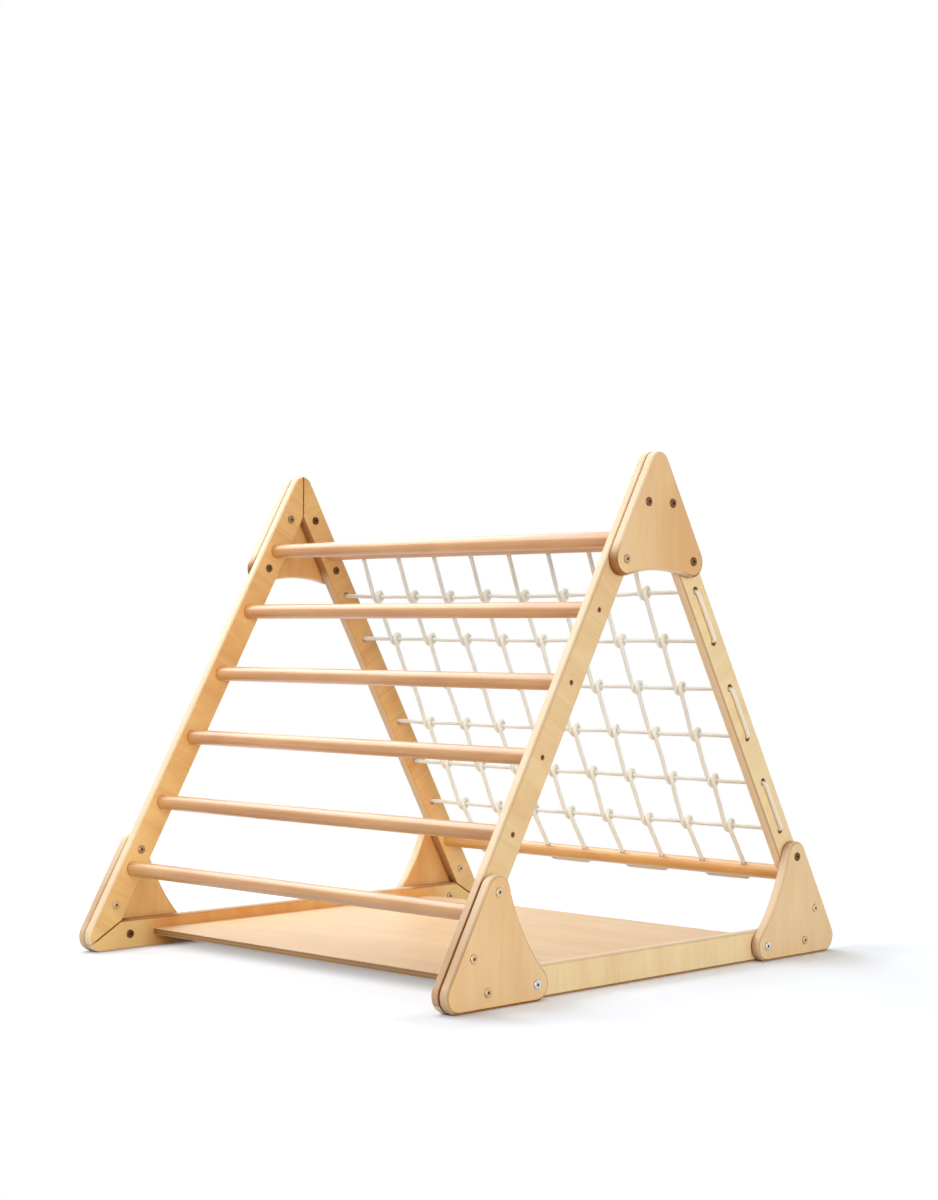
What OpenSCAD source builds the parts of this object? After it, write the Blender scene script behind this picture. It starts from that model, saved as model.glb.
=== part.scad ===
// Climbing triangle. Two equilateral plywood frames stand upright, held apart by six
// round rungs on one side and by two dowels with a knotted rope net on the other, and
// a plywood deck lies low between their base rails. X runs along the rungs, -Y is the
// ladder side, +Y is the net side, +Z is up. The origin is on the floor, in the middle.

/* [Frame] */
// Side of each triangle, from corner to corner of the rail centrelines
side_len = 980; // [960:5:1060]
// Width of a rail, across its face
rail_w = 56; // [50:1:62]
// Thickness of a rail
rail_t = 18; // [16:1:24]
// Clear width between the two frames
inner_w = 892; // [840:2:1000]
// Radius of the rounded outer corners at the feet
corner_r = 29; // [22:1:40]
// Radius of the rounded outer corner at the apex
apex_r = 24; // [20:1:40]
// Fine gap at each mitre
mitre_gap = 0.3; // [0.2:0.1:0.6]

/* [Gusset plates] */
// Thickness of a gusset plate
gusset_t = 18; // [12:1:24]
// From a corner to its near bolts, along the rail
bolt_near = 65; // [56:1:74]
// From an end rung to the far bolts, along the rail
bolt_past_rung = 40; // [34:1:48]
// Depth of the hollow in a plate's inner edge
gusset_sag = 11; // [4:1:18]

/* [Rungs] */
// Diameter of the rungs and of the two net dowels
rung_d = 28; // [24:1:34]
// Spacing of the rungs, along the rail
rung_pitch = 140; // [136:1:148]
// Depth of the sockets that the rungs sit in
socket_depth = 8; // [5:1:12]
// Play round a rung in its socket
socket_play = 0.2; // [0.1:0.1:0.4]

/* [Deck] */
// Thickness of the deck panel
deck_t = 12; // [12:1:18]
// Length of the deck, from the ladder side to the net side
deck_len = 740; // [690:2:800]
// Play between the deck and each base rail
deck_play = 0.2; // [0.1:0.1:0.4]

/* [Net] */
// Diameter of the rope
rope_d = 8; // [6:0.5:9]
// Diameter of the rope holes in the rails
rail_hole_d = 13; // [11:0.5:15]
// Diameter of the rope holes in the dowels
dowel_hole_d = 11; // [10:0.5:13]
// Spacing of the upright ropes
upright_pitch = 100; // [90:1:110]
// From a plate's end to the nearest row of rope
hole_past_plate = 32; // [24:1:40]
// Play between ropes where they are knotted
rope_play = 0.5; // [0.4:0.1:0.8]

/* [Fasteners] */
// Diameter of the flat bolt heads and nut heads
head_d = 16; // [13:0.5:18]
// Thickness of those heads
head_t = 2; // [1.5:0.5:3]
// Diameter of the bolt shanks
bolt_d = 6; // [5:0.5:7]
// Outer diameter of the sleeve nuts
sleeve_d = 9; // [8.5:0.5:10]
// Size of the hexagon sockets, across flats
hex_af = 5; // [4:0.5:6]
// Diameter of the screws into the rung ends
screw_d = 5; // [4:0.5:6]
// Diameter of their sunk heads
screw_head_d = 9; // [8:0.5:11]
// Length of those screws
screw_len = 40; // [32:1:50]
// Diameter of the barrel nuts in the deck
barrel_d = 10; // [9:0.5:11]
// From the deck's side edge to its barrel nuts
barrel_in = 26; // [20:1:34]
// Play round fasteners
bolt_play = 0.3; // [0.2:0.1:0.5]

/* [Hidden] */
$fn = 48;

// Counts
rung_n = 6;
row_n = 6;
upright_n = 8;

// Levels across the width: inner face, rail face and plate face of one frame
x_in = inner_w / 2;
x_rail = x_in + rail_t;
x_plate = x_rail + gusset_t;

// Corners of the centreline triangle as [y, z], and the bisectors that point inwards
base_z = rail_w / 2;
LADDER_FOOT = [-side_len / 2, base_z];
NET_FOOT = [side_len / 2, base_z];
APEX = [0, base_z + side_len * sin(60)];
CORNERS = [LADDER_FOOT, NET_FOOT, APEX];
BISECTORS = [30, 150, 270];

// Places along the sloped rails, measured up from the foot corner
end_rung = side_len / 2 - (rung_n - 1) / 2 * rung_pitch;
bolt_far = end_rung + bolt_past_rung;
plate_reach = bolt_far + rail_w / 2;
row_first = plate_reach + hole_past_plate;
row_pitch = (side_len - 2 * row_first) / (row_n - 1);
dowel_rows = [end_rung, side_len - end_rung];
// Rung 1 is the top one
function rung_at(i) = end_rung + (rung_n - i) * rung_pitch;
// Row 1 is the top one
function row_at(i) = row_first + (row_n - i) * row_pitch;
// A rail's rope holes stand out from their rows, away from the loop, so the rope lies
// against the side of its hole that the loop pulls it to
function hole_at(i) = row_at(i) + (i % 2 == 1 ? 1 : -1) * ((rail_hole_d - rope_d) / 2 - rope_side);
function upright_x(i) = (i - (upright_n + 1) / 2) * upright_pitch;
function ladder_pt(s) = LADDER_FOOT + s * [cos(60), sin(60)];
function net_pt(s) = NET_FOOT + s * [-cos(60), sin(60)];

PLY = [0.90, 0.77, 0.58];
PLATE_PLY = [0.88, 0.73, 0.53];
BEECH = [0.89, 0.68, 0.48];
ROPE = [0.90, 0.86, 0.79];
STEEL = [0.72, 0.72, 0.70];

// Between a rope and the near side of its hole in a rail
rope_side = 0.3;
// Overlap that fuses two solids of one piece
eps = 0.01;
// Cutters run this far past the faces that they open
over = 2;
// Bores run this far past the tips of their bolts and screws
tip_room = 2;
// Depth of the hexagon sockets in heads and sleeve nuts
hex_deep = 3;
// Sleeve nuts end this far below the rail's outer face
sleeve_short = 3;
// Bolts end this far above the rail's inner face
bolt_short = 5;
// Socket in the screw heads, across flats, and its depth
screw_hex_af = 3;
screw_hex_deep = 2;
// Wood left above the barrel nuts
nut_cover = 2;

// ---- Shared shapes ----

// A frame's outline lies in Y and Z and is made solid along X
module along_x(x0, x1) {
    translate([x0, 0, 0]) rotate([90, 0, 90]) linear_extrude(x1 - x0) children();
}

// A round pin or bore along X at the point [y, z]
module pin_x(p, d, x0, x1) {
    translate([x0, p[0], p[1]]) rotate([0, 90, 0]) cylinder(d = d, h = x1 - x0);
}

// A hexagon socket along X
module hex_x(p, af, x0, x1) {
    translate([x0, p[0], p[1]]) rotate([0, 90, 0]) cylinder(d = af / cos(30), h = x1 - x0, $fn = 6);
}

// A cone along X, such as a sunk screw head
module cone_x(p, d0, d1, x0, x1) {
    translate([x0, p[0], p[1]]) rotate([0, 90, 0]) cylinder(d1 = d0, d2 = d1, h = x1 - x0);
}

// The right frame as drawn, or its mirror image on the left
module on_side(side) {
    if (side > 0) children(); else mirror([1, 0, 0]) children();
}

// Puts a flat shape at a corner, its x axis pointing along the bisector
module at_corner(i) {
    translate(CORNERS[i]) rotate(BISECTORS[i]) children();
}

// Radius of each outer corner, and the middle of its arc, on the corner's bisector
function round_r(i) = i == 2 ? apex_r : corner_r;
function round_c(i) = [2 * round_r(i) - rail_w, 0];

// Waste outside a rounded corner. Its circle stands proud of both outer edges by a hair,
// so that it crosses them cleanly.
module corner_waste(i) {
    hair = 0.02;
    r = round_r(i);
    c = round_c(i);
    n = [-cos(60), sin(60)];
    m = [n[0], -n[1]];
    difference() {
        polygon([c + r * n, c + (r + over) * n, [-rail_w - 3 * over, 0], c + (r + over) * m, c + r * m]);
        translate(c) circle(r = r + hair);
    }
}

// One mitred rail lying flat: x along it from its middle, y outwards
module rail_shape() {
    lean = rail_w / 2 / tan(30);
    outer = side_len / 2 + lean - mitre_gap;
    inner = side_len / 2 - lean - mitre_gap;
    polygon([[-outer, rail_w / 2], [-inner, -rail_w / 2], [inner, -rail_w / 2], [outer, rail_w / 2]]);
}

// A rail between two corners, with its outer ends rounded
module rail_blank(a, b) {
    run = CORNERS[b] - CORNERS[a];
    along_x(x_in, x_rail) difference() {
        translate((CORNERS[a] + CORNERS[b]) / 2) rotate(atan2(run[1], run[0])) rail_shape();
        at_corner(a) corner_waste(a);
        at_corner(b) corner_waste(b);
    }
}

// A gusset plate: outer edges flush with the rails, round lobes over the far bolts, and
// a hollow inner edge whose arc runs smoothly into both lobes
module plate_blank(i) {
    c = round_c(i);
    n = [-cos(60), sin(60)];
    lobe = bolt_far * [cos(30), sin(30)];
    r = rail_w / 2;
    big = (lobe[1] * lobe[1] + gusset_sag * gusset_sag) / (2 * gusset_sag) - r;
    hollow = [lobe[0] + r - gusset_sag + big, 0];
    touch = lobe + r * (hollow - lobe) / norm(hollow - lobe);
    half = [c + round_r(i) * n, lobe + r * n, touch];
    along_x(x_rail, x_plate) at_corner(i) difference() {
        polygon(concat(half, [for (k = [2:-1:0]) [half[k][0], -half[k][1]]]));
        translate(hollow) circle(r = big, $fn = 360);
    }
    along_x(x_rail, x_plate) at_corner(i) translate(c) circle(r = round_r(i));
    for (m = [1, -1]) along_x(x_rail, x_plate) at_corner(i) translate([lobe[0], m * lobe[1]]) circle(r = r);
}

// ---- Frames ----

// Bolt places at a corner, as [y, z], on one leg or the other
function bolt_pt(i, turn, s) = CORNERS[i] + s * [cos(BISECTORS[i] + turn), sin(BISECTORS[i] + turn)];
// All the gusset bolts of a corner. At a foot the far base bolt goes to the deck instead.
function plate_bolts(i) = [
    for (turn = [-30, 30], s = [bolt_near, bolt_far])
        if (i == 2 || s == bolt_near || turn == (i == 0 ? 30 : -30)) bolt_pt(i, turn, s)
];
function deck_bolt_pt(i) = bolt_pt(i, i == 0 ? -30 : 30, bolt_far);
FRAME_BOLTS = [for (i = [0:2], p = plate_bolts(i)) p];

// Bores for the sleeve nuts, where they fall on a rail
module sleeve_bores() {
    for (p = FRAME_BOLTS) pin_x(p, sleeve_d + 2 * bolt_play, x_in - over, x_rail + over);
}

// A round socket for a rung, with a sunk hole behind it for its screw
module rung_seat(p) {
    sink = (screw_head_d - screw_d) / 2;
    pin_x(p, rung_d + 2 * socket_play, x_in - over, x_in + socket_depth);
    pin_x(p, screw_d + 2 * bolt_play, x_in, x_rail + over);
    cone_x(p, screw_d + 2 * bolt_play, screw_head_d + 2 * bolt_play, x_rail - sink, x_rail + eps);
}

module ladder_rail(side) {
    color(PLY) on_side(side) difference() {
        rail_blank(0, 2);
        sleeve_bores();
        for (i = [1:rung_n]) rung_seat(ladder_pt(rung_at(i)));
    }
}

module net_rail(side) {
    color(PLY) on_side(side) difference() {
        rail_blank(2, 1);
        sleeve_bores();
        for (s = dowel_rows) rung_seat(net_pt(s));
        for (i = [1:row_n]) pin_x(net_pt(hole_at(i)), rail_hole_d, x_in - over, x_rail + over);
    }
}

module base_rail(side) {
    color(PLY) on_side(side) difference() {
        rail_blank(1, 0);
        sleeve_bores();
        for (i = [0, 1]) pin_x(deck_bolt_pt(i), bolt_d + 2 * bolt_play, x_in - over, x_rail + over);
    }
}

module gusset(side, i) {
    color(PLATE_PLY) on_side(side) difference() {
        plate_blank(i);
        for (p = plate_bolts(i)) pin_x(p, bolt_d + 2 * bolt_play, x_rail - over, x_plate + over);
        if (i < 2) pin_x(deck_bolt_pt(i), bolt_d + 2 * bolt_play, x_rail - over, x_plate + over);
    }
}

// ---- Rungs, dowels and deck ----

rung_end = x_in + socket_depth - bolt_play;

// A plain round bar between the frames, with a screw bore in each end
module round_bar(p) {
    bore_end = x_rail - screw_len - tip_room;
    difference() {
        pin_x(p, rung_d, -rung_end, rung_end);
        for (side = [1, -1]) on_side(side) pin_x(p, screw_d + 2 * bolt_play, bore_end, rung_end + over);
    }
}

module rung(i) {
    color(BEECH) round_bar(ladder_pt(rung_at(i)));
}

// A net dowel is a rung drilled through for the upright ropes
module net_dowel(s) {
    color(BEECH) difference() {
        round_bar(net_pt(s));
        for (i = [1:upright_n])
            translate([upright_x(i), net_pt(s)[0], net_pt(s)[1]]) rotate([30, 0, 0])
                cylinder(d = dowel_hole_d, h = rung_d + 2 * over, center = true);
    }
}

// Inner side of the barrel nuts, where the deck bolts end
bolt_end = x_in - barrel_in - barrel_d / 2;

// A barrel nut's round body, from below the deck's underside up to just under its top
module barrel_blank(i, d, low) {
    translate([x_in - barrel_in, deck_bolt_pt(i)[0], base_z - deck_t / 2 + low])
        cylinder(d = d, h = deck_t - nut_cover - low);
}

module deck_panel() {
    x_deck = x_in - deck_play;
    color(PLY) difference() {
        translate([-x_deck, -deck_len / 2, base_z - deck_t / 2]) cube([2 * x_deck, deck_len, deck_t]);
        for (side = [1, -1], i = [0, 1]) on_side(side) {
            pin_x(deck_bolt_pt(i), bolt_d + 2 * bolt_play, bolt_end - tip_room, x_in + over);
            barrel_blank(i, barrel_d + 2 * bolt_play, -over);
        }
    }
}

// ---- Net ----

// A place in the net: x across, s up the rail, n out of the triangle
function net_xyz(x, s, n) = [x, net_pt(s)[0] + n * cos(30), net_pt(s)[1] + n * sin(30)];
S_AXIS = [0, -cos(60), sin(60)];
rope_r = rope_d / 2;
// A turn of rope past a face: its play there, and the radius of its centreline
face_play = 0.4;
bend_r = 1.35 * rope_r;

// A quarter turn of rope, in the net's plane, about [x, s]. Each entry is a point and
// the side of the rope there, a vector that the tube keeps its first corner towards.
function quarter(x, s, from) = [
    for (a = [from:30:from + 90])
        [net_xyz(x - bend_r * cos(a), s - bend_r * sin(a), 0), cos(a) * [1, 0, 0] + sin(a) * S_AXIS]
];

// Two neighbouring cross ropes are one endless rope that turns outside both net rails
module cross_rope(pair) {
    x_turn = x_rail + rope_r + face_play - bend_r;
    low = row_at(2 * pair) + bend_r;
    top = row_at(2 * pair - 1) - bend_r;
    color(ROPE) endless_tube(concat(
        quarter(-x_turn, low, 0), quarter(x_turn, low, 90),
        quarter(x_turn, top, 180), quarter(-x_turn, top, 270)
    ), rope_d);
}

// The knot: an upright rope comes down in front of a cross rope, makes one full turn
// round it and goes on down beside its own first pass. Its centreline is a polygon
// with eight corners that goes round the circle of radius turn_r.
turn_r = rope_d + rope_play;
turn_n = 8;
turn_step = 360 / turn_n;
// Its two passes lie side by side, and the rope runs straight this far past its turn
turn_shift = rope_d + 2.5 * rope_play;
lead = 1.6 * turn_r;

function turn_pt(x, s, j) = let (
        a = (j + 0.5) * turn_step,
        r = turn_r / cos(turn_step / 2)
    ) net_xyz(x + turn_shift * (j / (turn_n - 1) - 0.5), s - r * sin(a), -r * cos(a));

// One upright, from inside the top dowel down into the bottom one, with a turn at
// every row. It runs straight through the dowels' holes.
function upright_run(x) = let (in_dowel = rung_d / 2 + 1) concat(
    [net_xyz(x, dowel_rows[1] - in_dowel, 0)],
    [net_xyz(x - turn_shift / 2, row_at(1) + lead, -turn_r)],
    [for (i = [1:row_n], j = [0:turn_n - 1]) turn_pt(x, row_at(i), j)],
    [net_xyz(x + turn_shift / 2, row_at(row_n) - lead, -turn_r)],
    [net_xyz(x, dowel_rows[0] + in_dowel, 0)]
);
function backwards(list) = [for (i = [len(list) - 1:-1:0]) list[i]];

// Two neighbouring uprights are one endless rope that turns past both dowels
function pair_path(xa, xb) = let (
        past = rung_d / 2 + rope_r + face_play - bend_r,
        low = dowel_rows[0] - past,
        high = dowel_rows[1] + past
    ) concat(
        [for (p = upright_run(xa)) [p, [1, 0, 0]]],
        quarter(xa + bend_r, low, 0), quarter(xb - bend_r, low, 90),
        [for (p = backwards(upright_run(xb))) [p, [-1, 0, 0]]],
        quarter(xb - bend_r, high, 180), quarter(xa + bend_r, high, 270)
    );

function unit(v) = v / norm(v);

// A closed six-sided tube along a path of [point, side]
module endless_tube(path, d) {
    sides = 6;
    n = len(path);
    rings = [for (i = [0:n - 1]) let (
            here = path[i][0],
            t = unit(unit(path[(i + 1) % n][0] - here) + unit(here - path[(i + n - 1) % n][0])),
            a = unit(path[i][1] - (path[i][1] * t) * t),
            b = cross(t, a)
        ) for (k = [0:sides - 1]) here + d / 2 * (cos(360 * k / sides) * a + sin(360 * k / sides) * b)];
    faces = [for (i = [0:n - 1], k = [0:sides - 1]) let (
            m = (i + 1) % n,
            l = (k + 1) % sides,
            q = [i * sides + k, i * sides + l, m * sides + l, m * sides + k]
        ) for (f = [[q[0], q[2], q[1]], [q[0], q[3], q[2]]]) f];
    polyhedron(rings, faces);
}

// Least clear distance between the first and the last pass of a knot, on points of each
first_pass = [for (k = [0:10]) turn_pt(0, 0, 0) + 2 * k * S_AXIS];
last_pass = [for (k = [0:10]) turn_pt(0, 0, turn_n - 1) - 2 * k * S_AXIS];
echo(knot_gap = min([for (p = first_pass, q = last_pass) norm(p - q)]) - rope_d);

module upright_rope(pair) {
    color(ROPE) endless_tube(pair_path(upright_x(2 * pair - 1), upright_x(2 * pair)), rope_d);
}

// ---- Fasteners ----

// A flat-headed bolt from the plate's face inwards
module head_bolt(p, x_tip) {
    difference() {
        union() {
            pin_x(p, head_d, x_plate, x_plate + head_t);
            pin_x(p, bolt_d, x_tip, x_plate + eps);
        }
        hex_x(p, hex_af, x_plate + head_t - hex_deep, x_plate + head_t + over);
    }
}

// A sleeve nut, let into the rail from its inner face
module sleeve_nut(p) {
    difference() {
        union() {
            pin_x(p, head_d, x_in - head_t, x_in);
            pin_x(p, sleeve_d, x_in - eps, x_rail - sleeve_short);
        }
        pin_x(p, bolt_d + 2 * bolt_play, x_in + hex_deep, x_rail);
        hex_x(p, hex_af, x_in - head_t - over, x_in - head_t + hex_deep);
    }
}

module plate_bolt_set(side, i) {
    color(STEEL) on_side(side) for (p = plate_bolts(i)) head_bolt(p, x_in + bolt_short);
}

module sleeve_nut_set(side) {
    color(STEEL) on_side(side) for (p = FRAME_BOLTS) sleeve_nut(p);
}

module barrel_nuts() {
    color(STEEL) for (side = [1, -1], i = [0, 1]) on_side(side) difference() {
        barrel_blank(i, barrel_d, bolt_play);
        pin_x(deck_bolt_pt(i), bolt_d + 2 * bolt_play, bolt_end - over, x_in);
    }
}

module deck_bolts() {
    color(STEEL) for (side = [1, -1], i = [0, 1]) on_side(side) head_bolt(deck_bolt_pt(i), bolt_end);
}

// A screw whose flat head lies just under the rail's face
module sunk_screw(p) {
    sink = (screw_head_d - screw_d) / 2;
    x_top = x_rail - bolt_play;
    difference() {
        union() {
            cone_x(p, screw_d, screw_head_d, x_top - sink, x_top);
            pin_x(p, screw_d, x_top - screw_len, x_top - sink + eps);
        }
        hex_x(p, screw_hex_af, x_top - screw_hex_deep, x_top + over);
    }
}

module rung_screw_set(side) {
    color(STEEL) on_side(side) for (i = [1:rung_n]) sunk_screw(ladder_pt(rung_at(i)));
}

module net_dowel_screws() {
    color(STEEL) for (side = [1, -1], s = dowel_rows) on_side(side) sunk_screw(net_pt(s));
}

// ---- The part ----

ladder_rail(1);  // ladder_rail_right
ladder_rail(-1);  // ladder_rail_left
net_rail(1);  // net_rail_right
net_rail(-1);  // net_rail_left
base_rail(1);  // base_rail_right
base_rail(-1);  // base_rail_left
gusset(1, 2);  // apex_gusset_right
gusset(-1, 2);  // apex_gusset_left
gusset(1, 0);  // ladder_foot_gusset_right
gusset(-1, 0);  // ladder_foot_gusset_left
gusset(1, 1);  // net_foot_gusset_right
gusset(-1, 1);  // net_foot_gusset_left
for (i = [1:rung_n]) rung(i);
net_dowel(dowel_rows[1]);  // net_top_dowel
net_dowel(dowel_rows[0]);  // net_bottom_dowel
deck_panel();
for (i = [1:row_n / 2]) cross_rope(i);
for (i = [1:upright_n / 2]) upright_rope(i);
plate_bolt_set(1, 2);  // apex_bolts_right
plate_bolt_set(-1, 2);  // apex_bolts_left
plate_bolt_set(1, 0);  // ladder_foot_bolts_right
plate_bolt_set(-1, 0);  // ladder_foot_bolts_left
plate_bolt_set(1, 1);  // net_foot_bolts_right
plate_bolt_set(-1, 1);  // net_foot_bolts_left
sleeve_nut_set(1);  // sleeve_nuts_right
sleeve_nut_set(-1);  // sleeve_nuts_left
deck_bolts();
barrel_nuts();
rung_screw_set(1);  // rung_screws_right
rung_screw_set(-1);  // rung_screws_left
net_dowel_screws();
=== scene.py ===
"""Looks of a wooden climbing triangle: two plywood frames, beech rungs, a rope net and a low deck.

Lengths are metres in the frame's own axes: X along the rungs, -Y the ladder side, +Y the net
side, Z up. Every shape is worked out with numpy as a function of two parameters, or as a profile
carried along a path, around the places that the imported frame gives.
"""
import math
from functools import reduce

import bpy
import numpy as np
from mathutils import Matrix, Vector
from mathutils.geometry import delaunay_2d_cdt, tessellate_polygon


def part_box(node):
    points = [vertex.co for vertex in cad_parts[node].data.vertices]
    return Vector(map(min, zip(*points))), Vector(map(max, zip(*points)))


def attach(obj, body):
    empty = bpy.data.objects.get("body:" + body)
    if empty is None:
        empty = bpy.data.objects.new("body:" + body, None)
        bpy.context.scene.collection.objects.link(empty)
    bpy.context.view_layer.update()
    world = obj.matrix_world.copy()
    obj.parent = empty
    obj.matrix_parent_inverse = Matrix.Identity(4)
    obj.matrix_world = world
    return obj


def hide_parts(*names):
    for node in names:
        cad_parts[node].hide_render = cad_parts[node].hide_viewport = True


joined = np.concatenate
MM = 0.001
TURN = 2 * math.pi
BODY = "root"
SIDES = {"right": 1, "left": -1}

# ---- camera

LENS_MM, SENSOR_MM = 64.837, 36.0
CAMERA_PLACE = (2.8385, -2.8899, 0.5935)
CAMERA_YAW, CAMERA_PITCH, CAMERA_ROLL = (math.radians(a) for a in (44.263, 0.886, 0.275))


def add_object(name, data):
    """A new object, linked to the scene."""
    made = bpy.data.objects.new(name, data)
    bpy.context.scene.collection.objects.link(made)
    return made


def make_camera():
    """The photograph's camera: yaw turns it from +Y towards -X, pitch tips it up, roll turns it in its view."""
    data = bpy.data.cameras.new("photo_camera")
    data.sensor_fit = "VERTICAL"
    data.sensor_height, data.lens = SENSOR_MM, LENS_MM
    camera = add_object("photo_camera", data)
    turns = ((CAMERA_YAW, "Z"), (TURN / 4 + CAMERA_PITCH, "X"), (CAMERA_ROLL, "Z"))
    camera.matrix_world = reduce(lambda m, turn: m @ Matrix.Rotation(turn[0], 4, turn[1]), turns,
                                 Matrix.Translation(CAMERA_PLACE))
    bpy.context.scene.camera = camera


make_camera()
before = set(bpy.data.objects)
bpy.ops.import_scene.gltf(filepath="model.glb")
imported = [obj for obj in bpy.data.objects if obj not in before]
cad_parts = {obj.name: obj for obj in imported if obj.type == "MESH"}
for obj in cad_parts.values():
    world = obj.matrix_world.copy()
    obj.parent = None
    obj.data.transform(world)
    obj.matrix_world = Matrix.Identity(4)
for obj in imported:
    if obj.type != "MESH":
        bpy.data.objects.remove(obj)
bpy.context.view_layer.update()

# ---- sizes

# The wooden parts
SIDE_LEN, RAIL_W = 0.980, 0.056
CORNER_RADII = 0.029, 0.029, 0.024
MITRE_GAP = 0.3 * MM
RUNG_PITCH, RUNG_COUNT = 0.140, 6
BOLT_NEAR, BOLT_PAST_RUNG = 0.065, 0.040
GUSSET_SAG = 0.011
HOLE_PAST_PLATE = 0.032
SOCKET_DEPTH, SOCKET_PLAY = 0.008, 0.2 * MM

# The net
ROPE_D, RAIL_HOLE_D, DOWEL_HOLE_D = 0.008, 0.013, 0.011
ROW_COUNT, UPRIGHT_COUNT, UPRIGHT_PITCH = 6, 8, 0.100
ROPE_SIDE, FACE_PLAY = 0.3 * MM, 0.4 * MM
ROPE_R = ROPE_D / 2

# The fasteners
HEAD_D, BOLT_D, SLEEVE_D = 0.016, 0.006, 0.009
HEX_AF, HEX_DEPTH = 0.005, 0.0022
SCREW_D, SCREW_HEAD_D = 0.005, 0.009
PLAY = 0.3 * MM

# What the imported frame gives
X_IN, X_RAIL = (corner.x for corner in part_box("base_rail_right"))
X_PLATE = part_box("apex_gusset_right")[1].x
X_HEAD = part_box("apex_bolts_right")[1].x
RUNG_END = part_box("rung_1")[1].x
RUNG_R = (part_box("rung_1")[1].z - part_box("rung_1")[0].z) / 2

# The centreline triangle as [y, z], and the angles of the bisectors that point inwards
COS60, SIN60 = 0.5, math.sqrt(0.75)
CORNERS = np.array([[-SIDE_LEN / 2, RAIL_W / 2],
                    [SIDE_LEN / 2, RAIL_W / 2],
                    [0.0, RAIL_W / 2 + SIDE_LEN * SIN60]])
LADDER_FOOT, NET_FOOT, APEX = range(3)
BISECTORS = np.radians([30.0, 150.0, 270.0])
LEG_TURNS = (-TURN / 12, TURN / 12)

# How far rungs, dowels and rope rows lie up their rails. Rung 1 and row 1 are the top ones
END_RUNG = SIDE_LEN / 2 - (RUNG_COUNT - 1) / 2 * RUNG_PITCH
BOLT_FAR = END_RUNG + BOLT_PAST_RUNG
ROW_FIRST = BOLT_FAR + RAIL_W / 2 + HOLE_PAST_PLATE
ROW_PITCH = (SIDE_LEN - 2 * ROW_FIRST) / (ROW_COUNT - 1)
DOWEL_ROWS = (END_RUNG, SIDE_LEN - END_RUNG)


def row_at(i):
    """How far rope row i lies up the net rail."""
    return ROW_FIRST + (ROW_COUNT - i) * ROW_PITCH


def hole_at(i):
    """How far its hole lies up the rail: away from the loop, so that the rope lies against its near side."""
    out = (RAIL_HOLE_D - ROPE_D) / 2 - ROPE_SIDE
    return row_at(i) + (out if i % 2 else -out)


def net_point(s):
    """[y, z] on the net rail's centreline, s up from the foot corner."""
    return CORNERS[NET_FOOT] + s * np.array([-COS60, SIN60])


def leg_point(corner, turn, s):
    """[y, z] on one leg of a corner: turn is the leg's angle from the bisector."""
    a = BISECTORS[corner] + turn
    return CORNERS[corner] + s * np.array([math.cos(a), math.sin(a)])


# The deck bolt at a foot takes the place of the far base bolt
DECK_BOLTS = [leg_point(foot, turn, BOLT_FAR) for foot, turn in zip((LADDER_FOOT, NET_FOOT), LEG_TURNS)]
# The bolts that hold each corner's plate to its rails
PLATE_BOLTS = [[p for p in (leg_point(corner, turn, s) for turn in LEG_TURNS for s in (BOLT_NEAR, BOLT_FAR))
                if min(np.linalg.norm(p - deck) for deck in DECK_BOLTS) > BOLT_D] for corner in range(3)]
FRAME_BOLTS = sum(PLATE_BOLTS, [])
RUNG_PLACES = [CORNERS[LADDER_FOOT] + (END_RUNG + (RUNG_COUNT - i) * RUNG_PITCH) * np.array([COS60, SIN60])
               for i in range(1, RUNG_COUNT + 1)]
DOWEL_PLACES = [net_point(s) for s in DOWEL_ROWS]

# ---- meshes

def face_corners(quads, tris):
    """The point number of every face corner, quads first."""
    return joined([np.ravel(quads), np.ravel(tris)]).astype(np.int32)


def make_piece(name, finish, points, quads, tris, normals=None, uv=None, grain=None, marks=None, sharp=None):
    """A finished piece from whole arrays, in place of its CAD node. quads and tris hold point numbers.

    normals, uv and marks, such as the dark line in a joint, go with face corners, and grain with points.
    """
    totals = np.repeat([4, 3], [len(quads), len(tris)])
    mesh = bpy.data.meshes.new(name)
    mesh.vertices.add(len(points))
    mesh.loops.add(int(totals.sum()))
    mesh.polygons.add(len(totals))

    def fill(data, key, values, kind=np.float32):
        data.foreach_set(key, np.asarray(values, kind).ravel())

    fill(mesh.vertices, "co", points)
    fill(mesh.loops, "vertex_index", face_corners(quads, tris), np.int32)
    fill(mesh.polygons, "loop_start", np.cumsum(totals) - totals, np.int32)
    fill(mesh.polygons, "loop_total", totals, np.int32)
    fill(mesh.polygons, "use_smooth", np.ones(len(totals)), bool)
    mesh.update(calc_edges=True)
    mesh.validate()
    if uv is not None:
        fill(mesh.uv_layers.new(name="UVMap").data, "uv", uv)
    if grain is not None:
        fill(mesh.attributes.new("grain", "FLOAT_VECTOR", "POINT").data, "vector", grain)
    for key, values in (marks or {}).items():
        fill(mesh.attributes.new(key, "FLOAT", "CORNER").data, "value", values)
    if normals is not None:
        mesh.normals_split_custom_set(np.asarray(normals, np.float32).tolist())
    if sharp is not None:
        mesh.set_sharp_from_angle(angle=math.radians(sharp))
    mesh.materials.append(FINISHES[finish])
    piece = add_object(f"{name}_look", mesh)
    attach(piece, BODY)
    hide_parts(name)


def ring_quads(rings, count, first=0, inward=False, closed=False):
    """Quads between stacked rings of count points each, facing out of the stack or into it."""
    k = np.arange(rings if closed else rings - 1)[:, None]
    i = np.arange(count)[None, :]
    above, after = (k + 1) % rings * count, (i + 1) % count
    quads = first + columns(k * count + i, k * count + after, above + after, above + i).reshape(-1, 4)
    return quads[:, ::-1] if inward else quads


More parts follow.
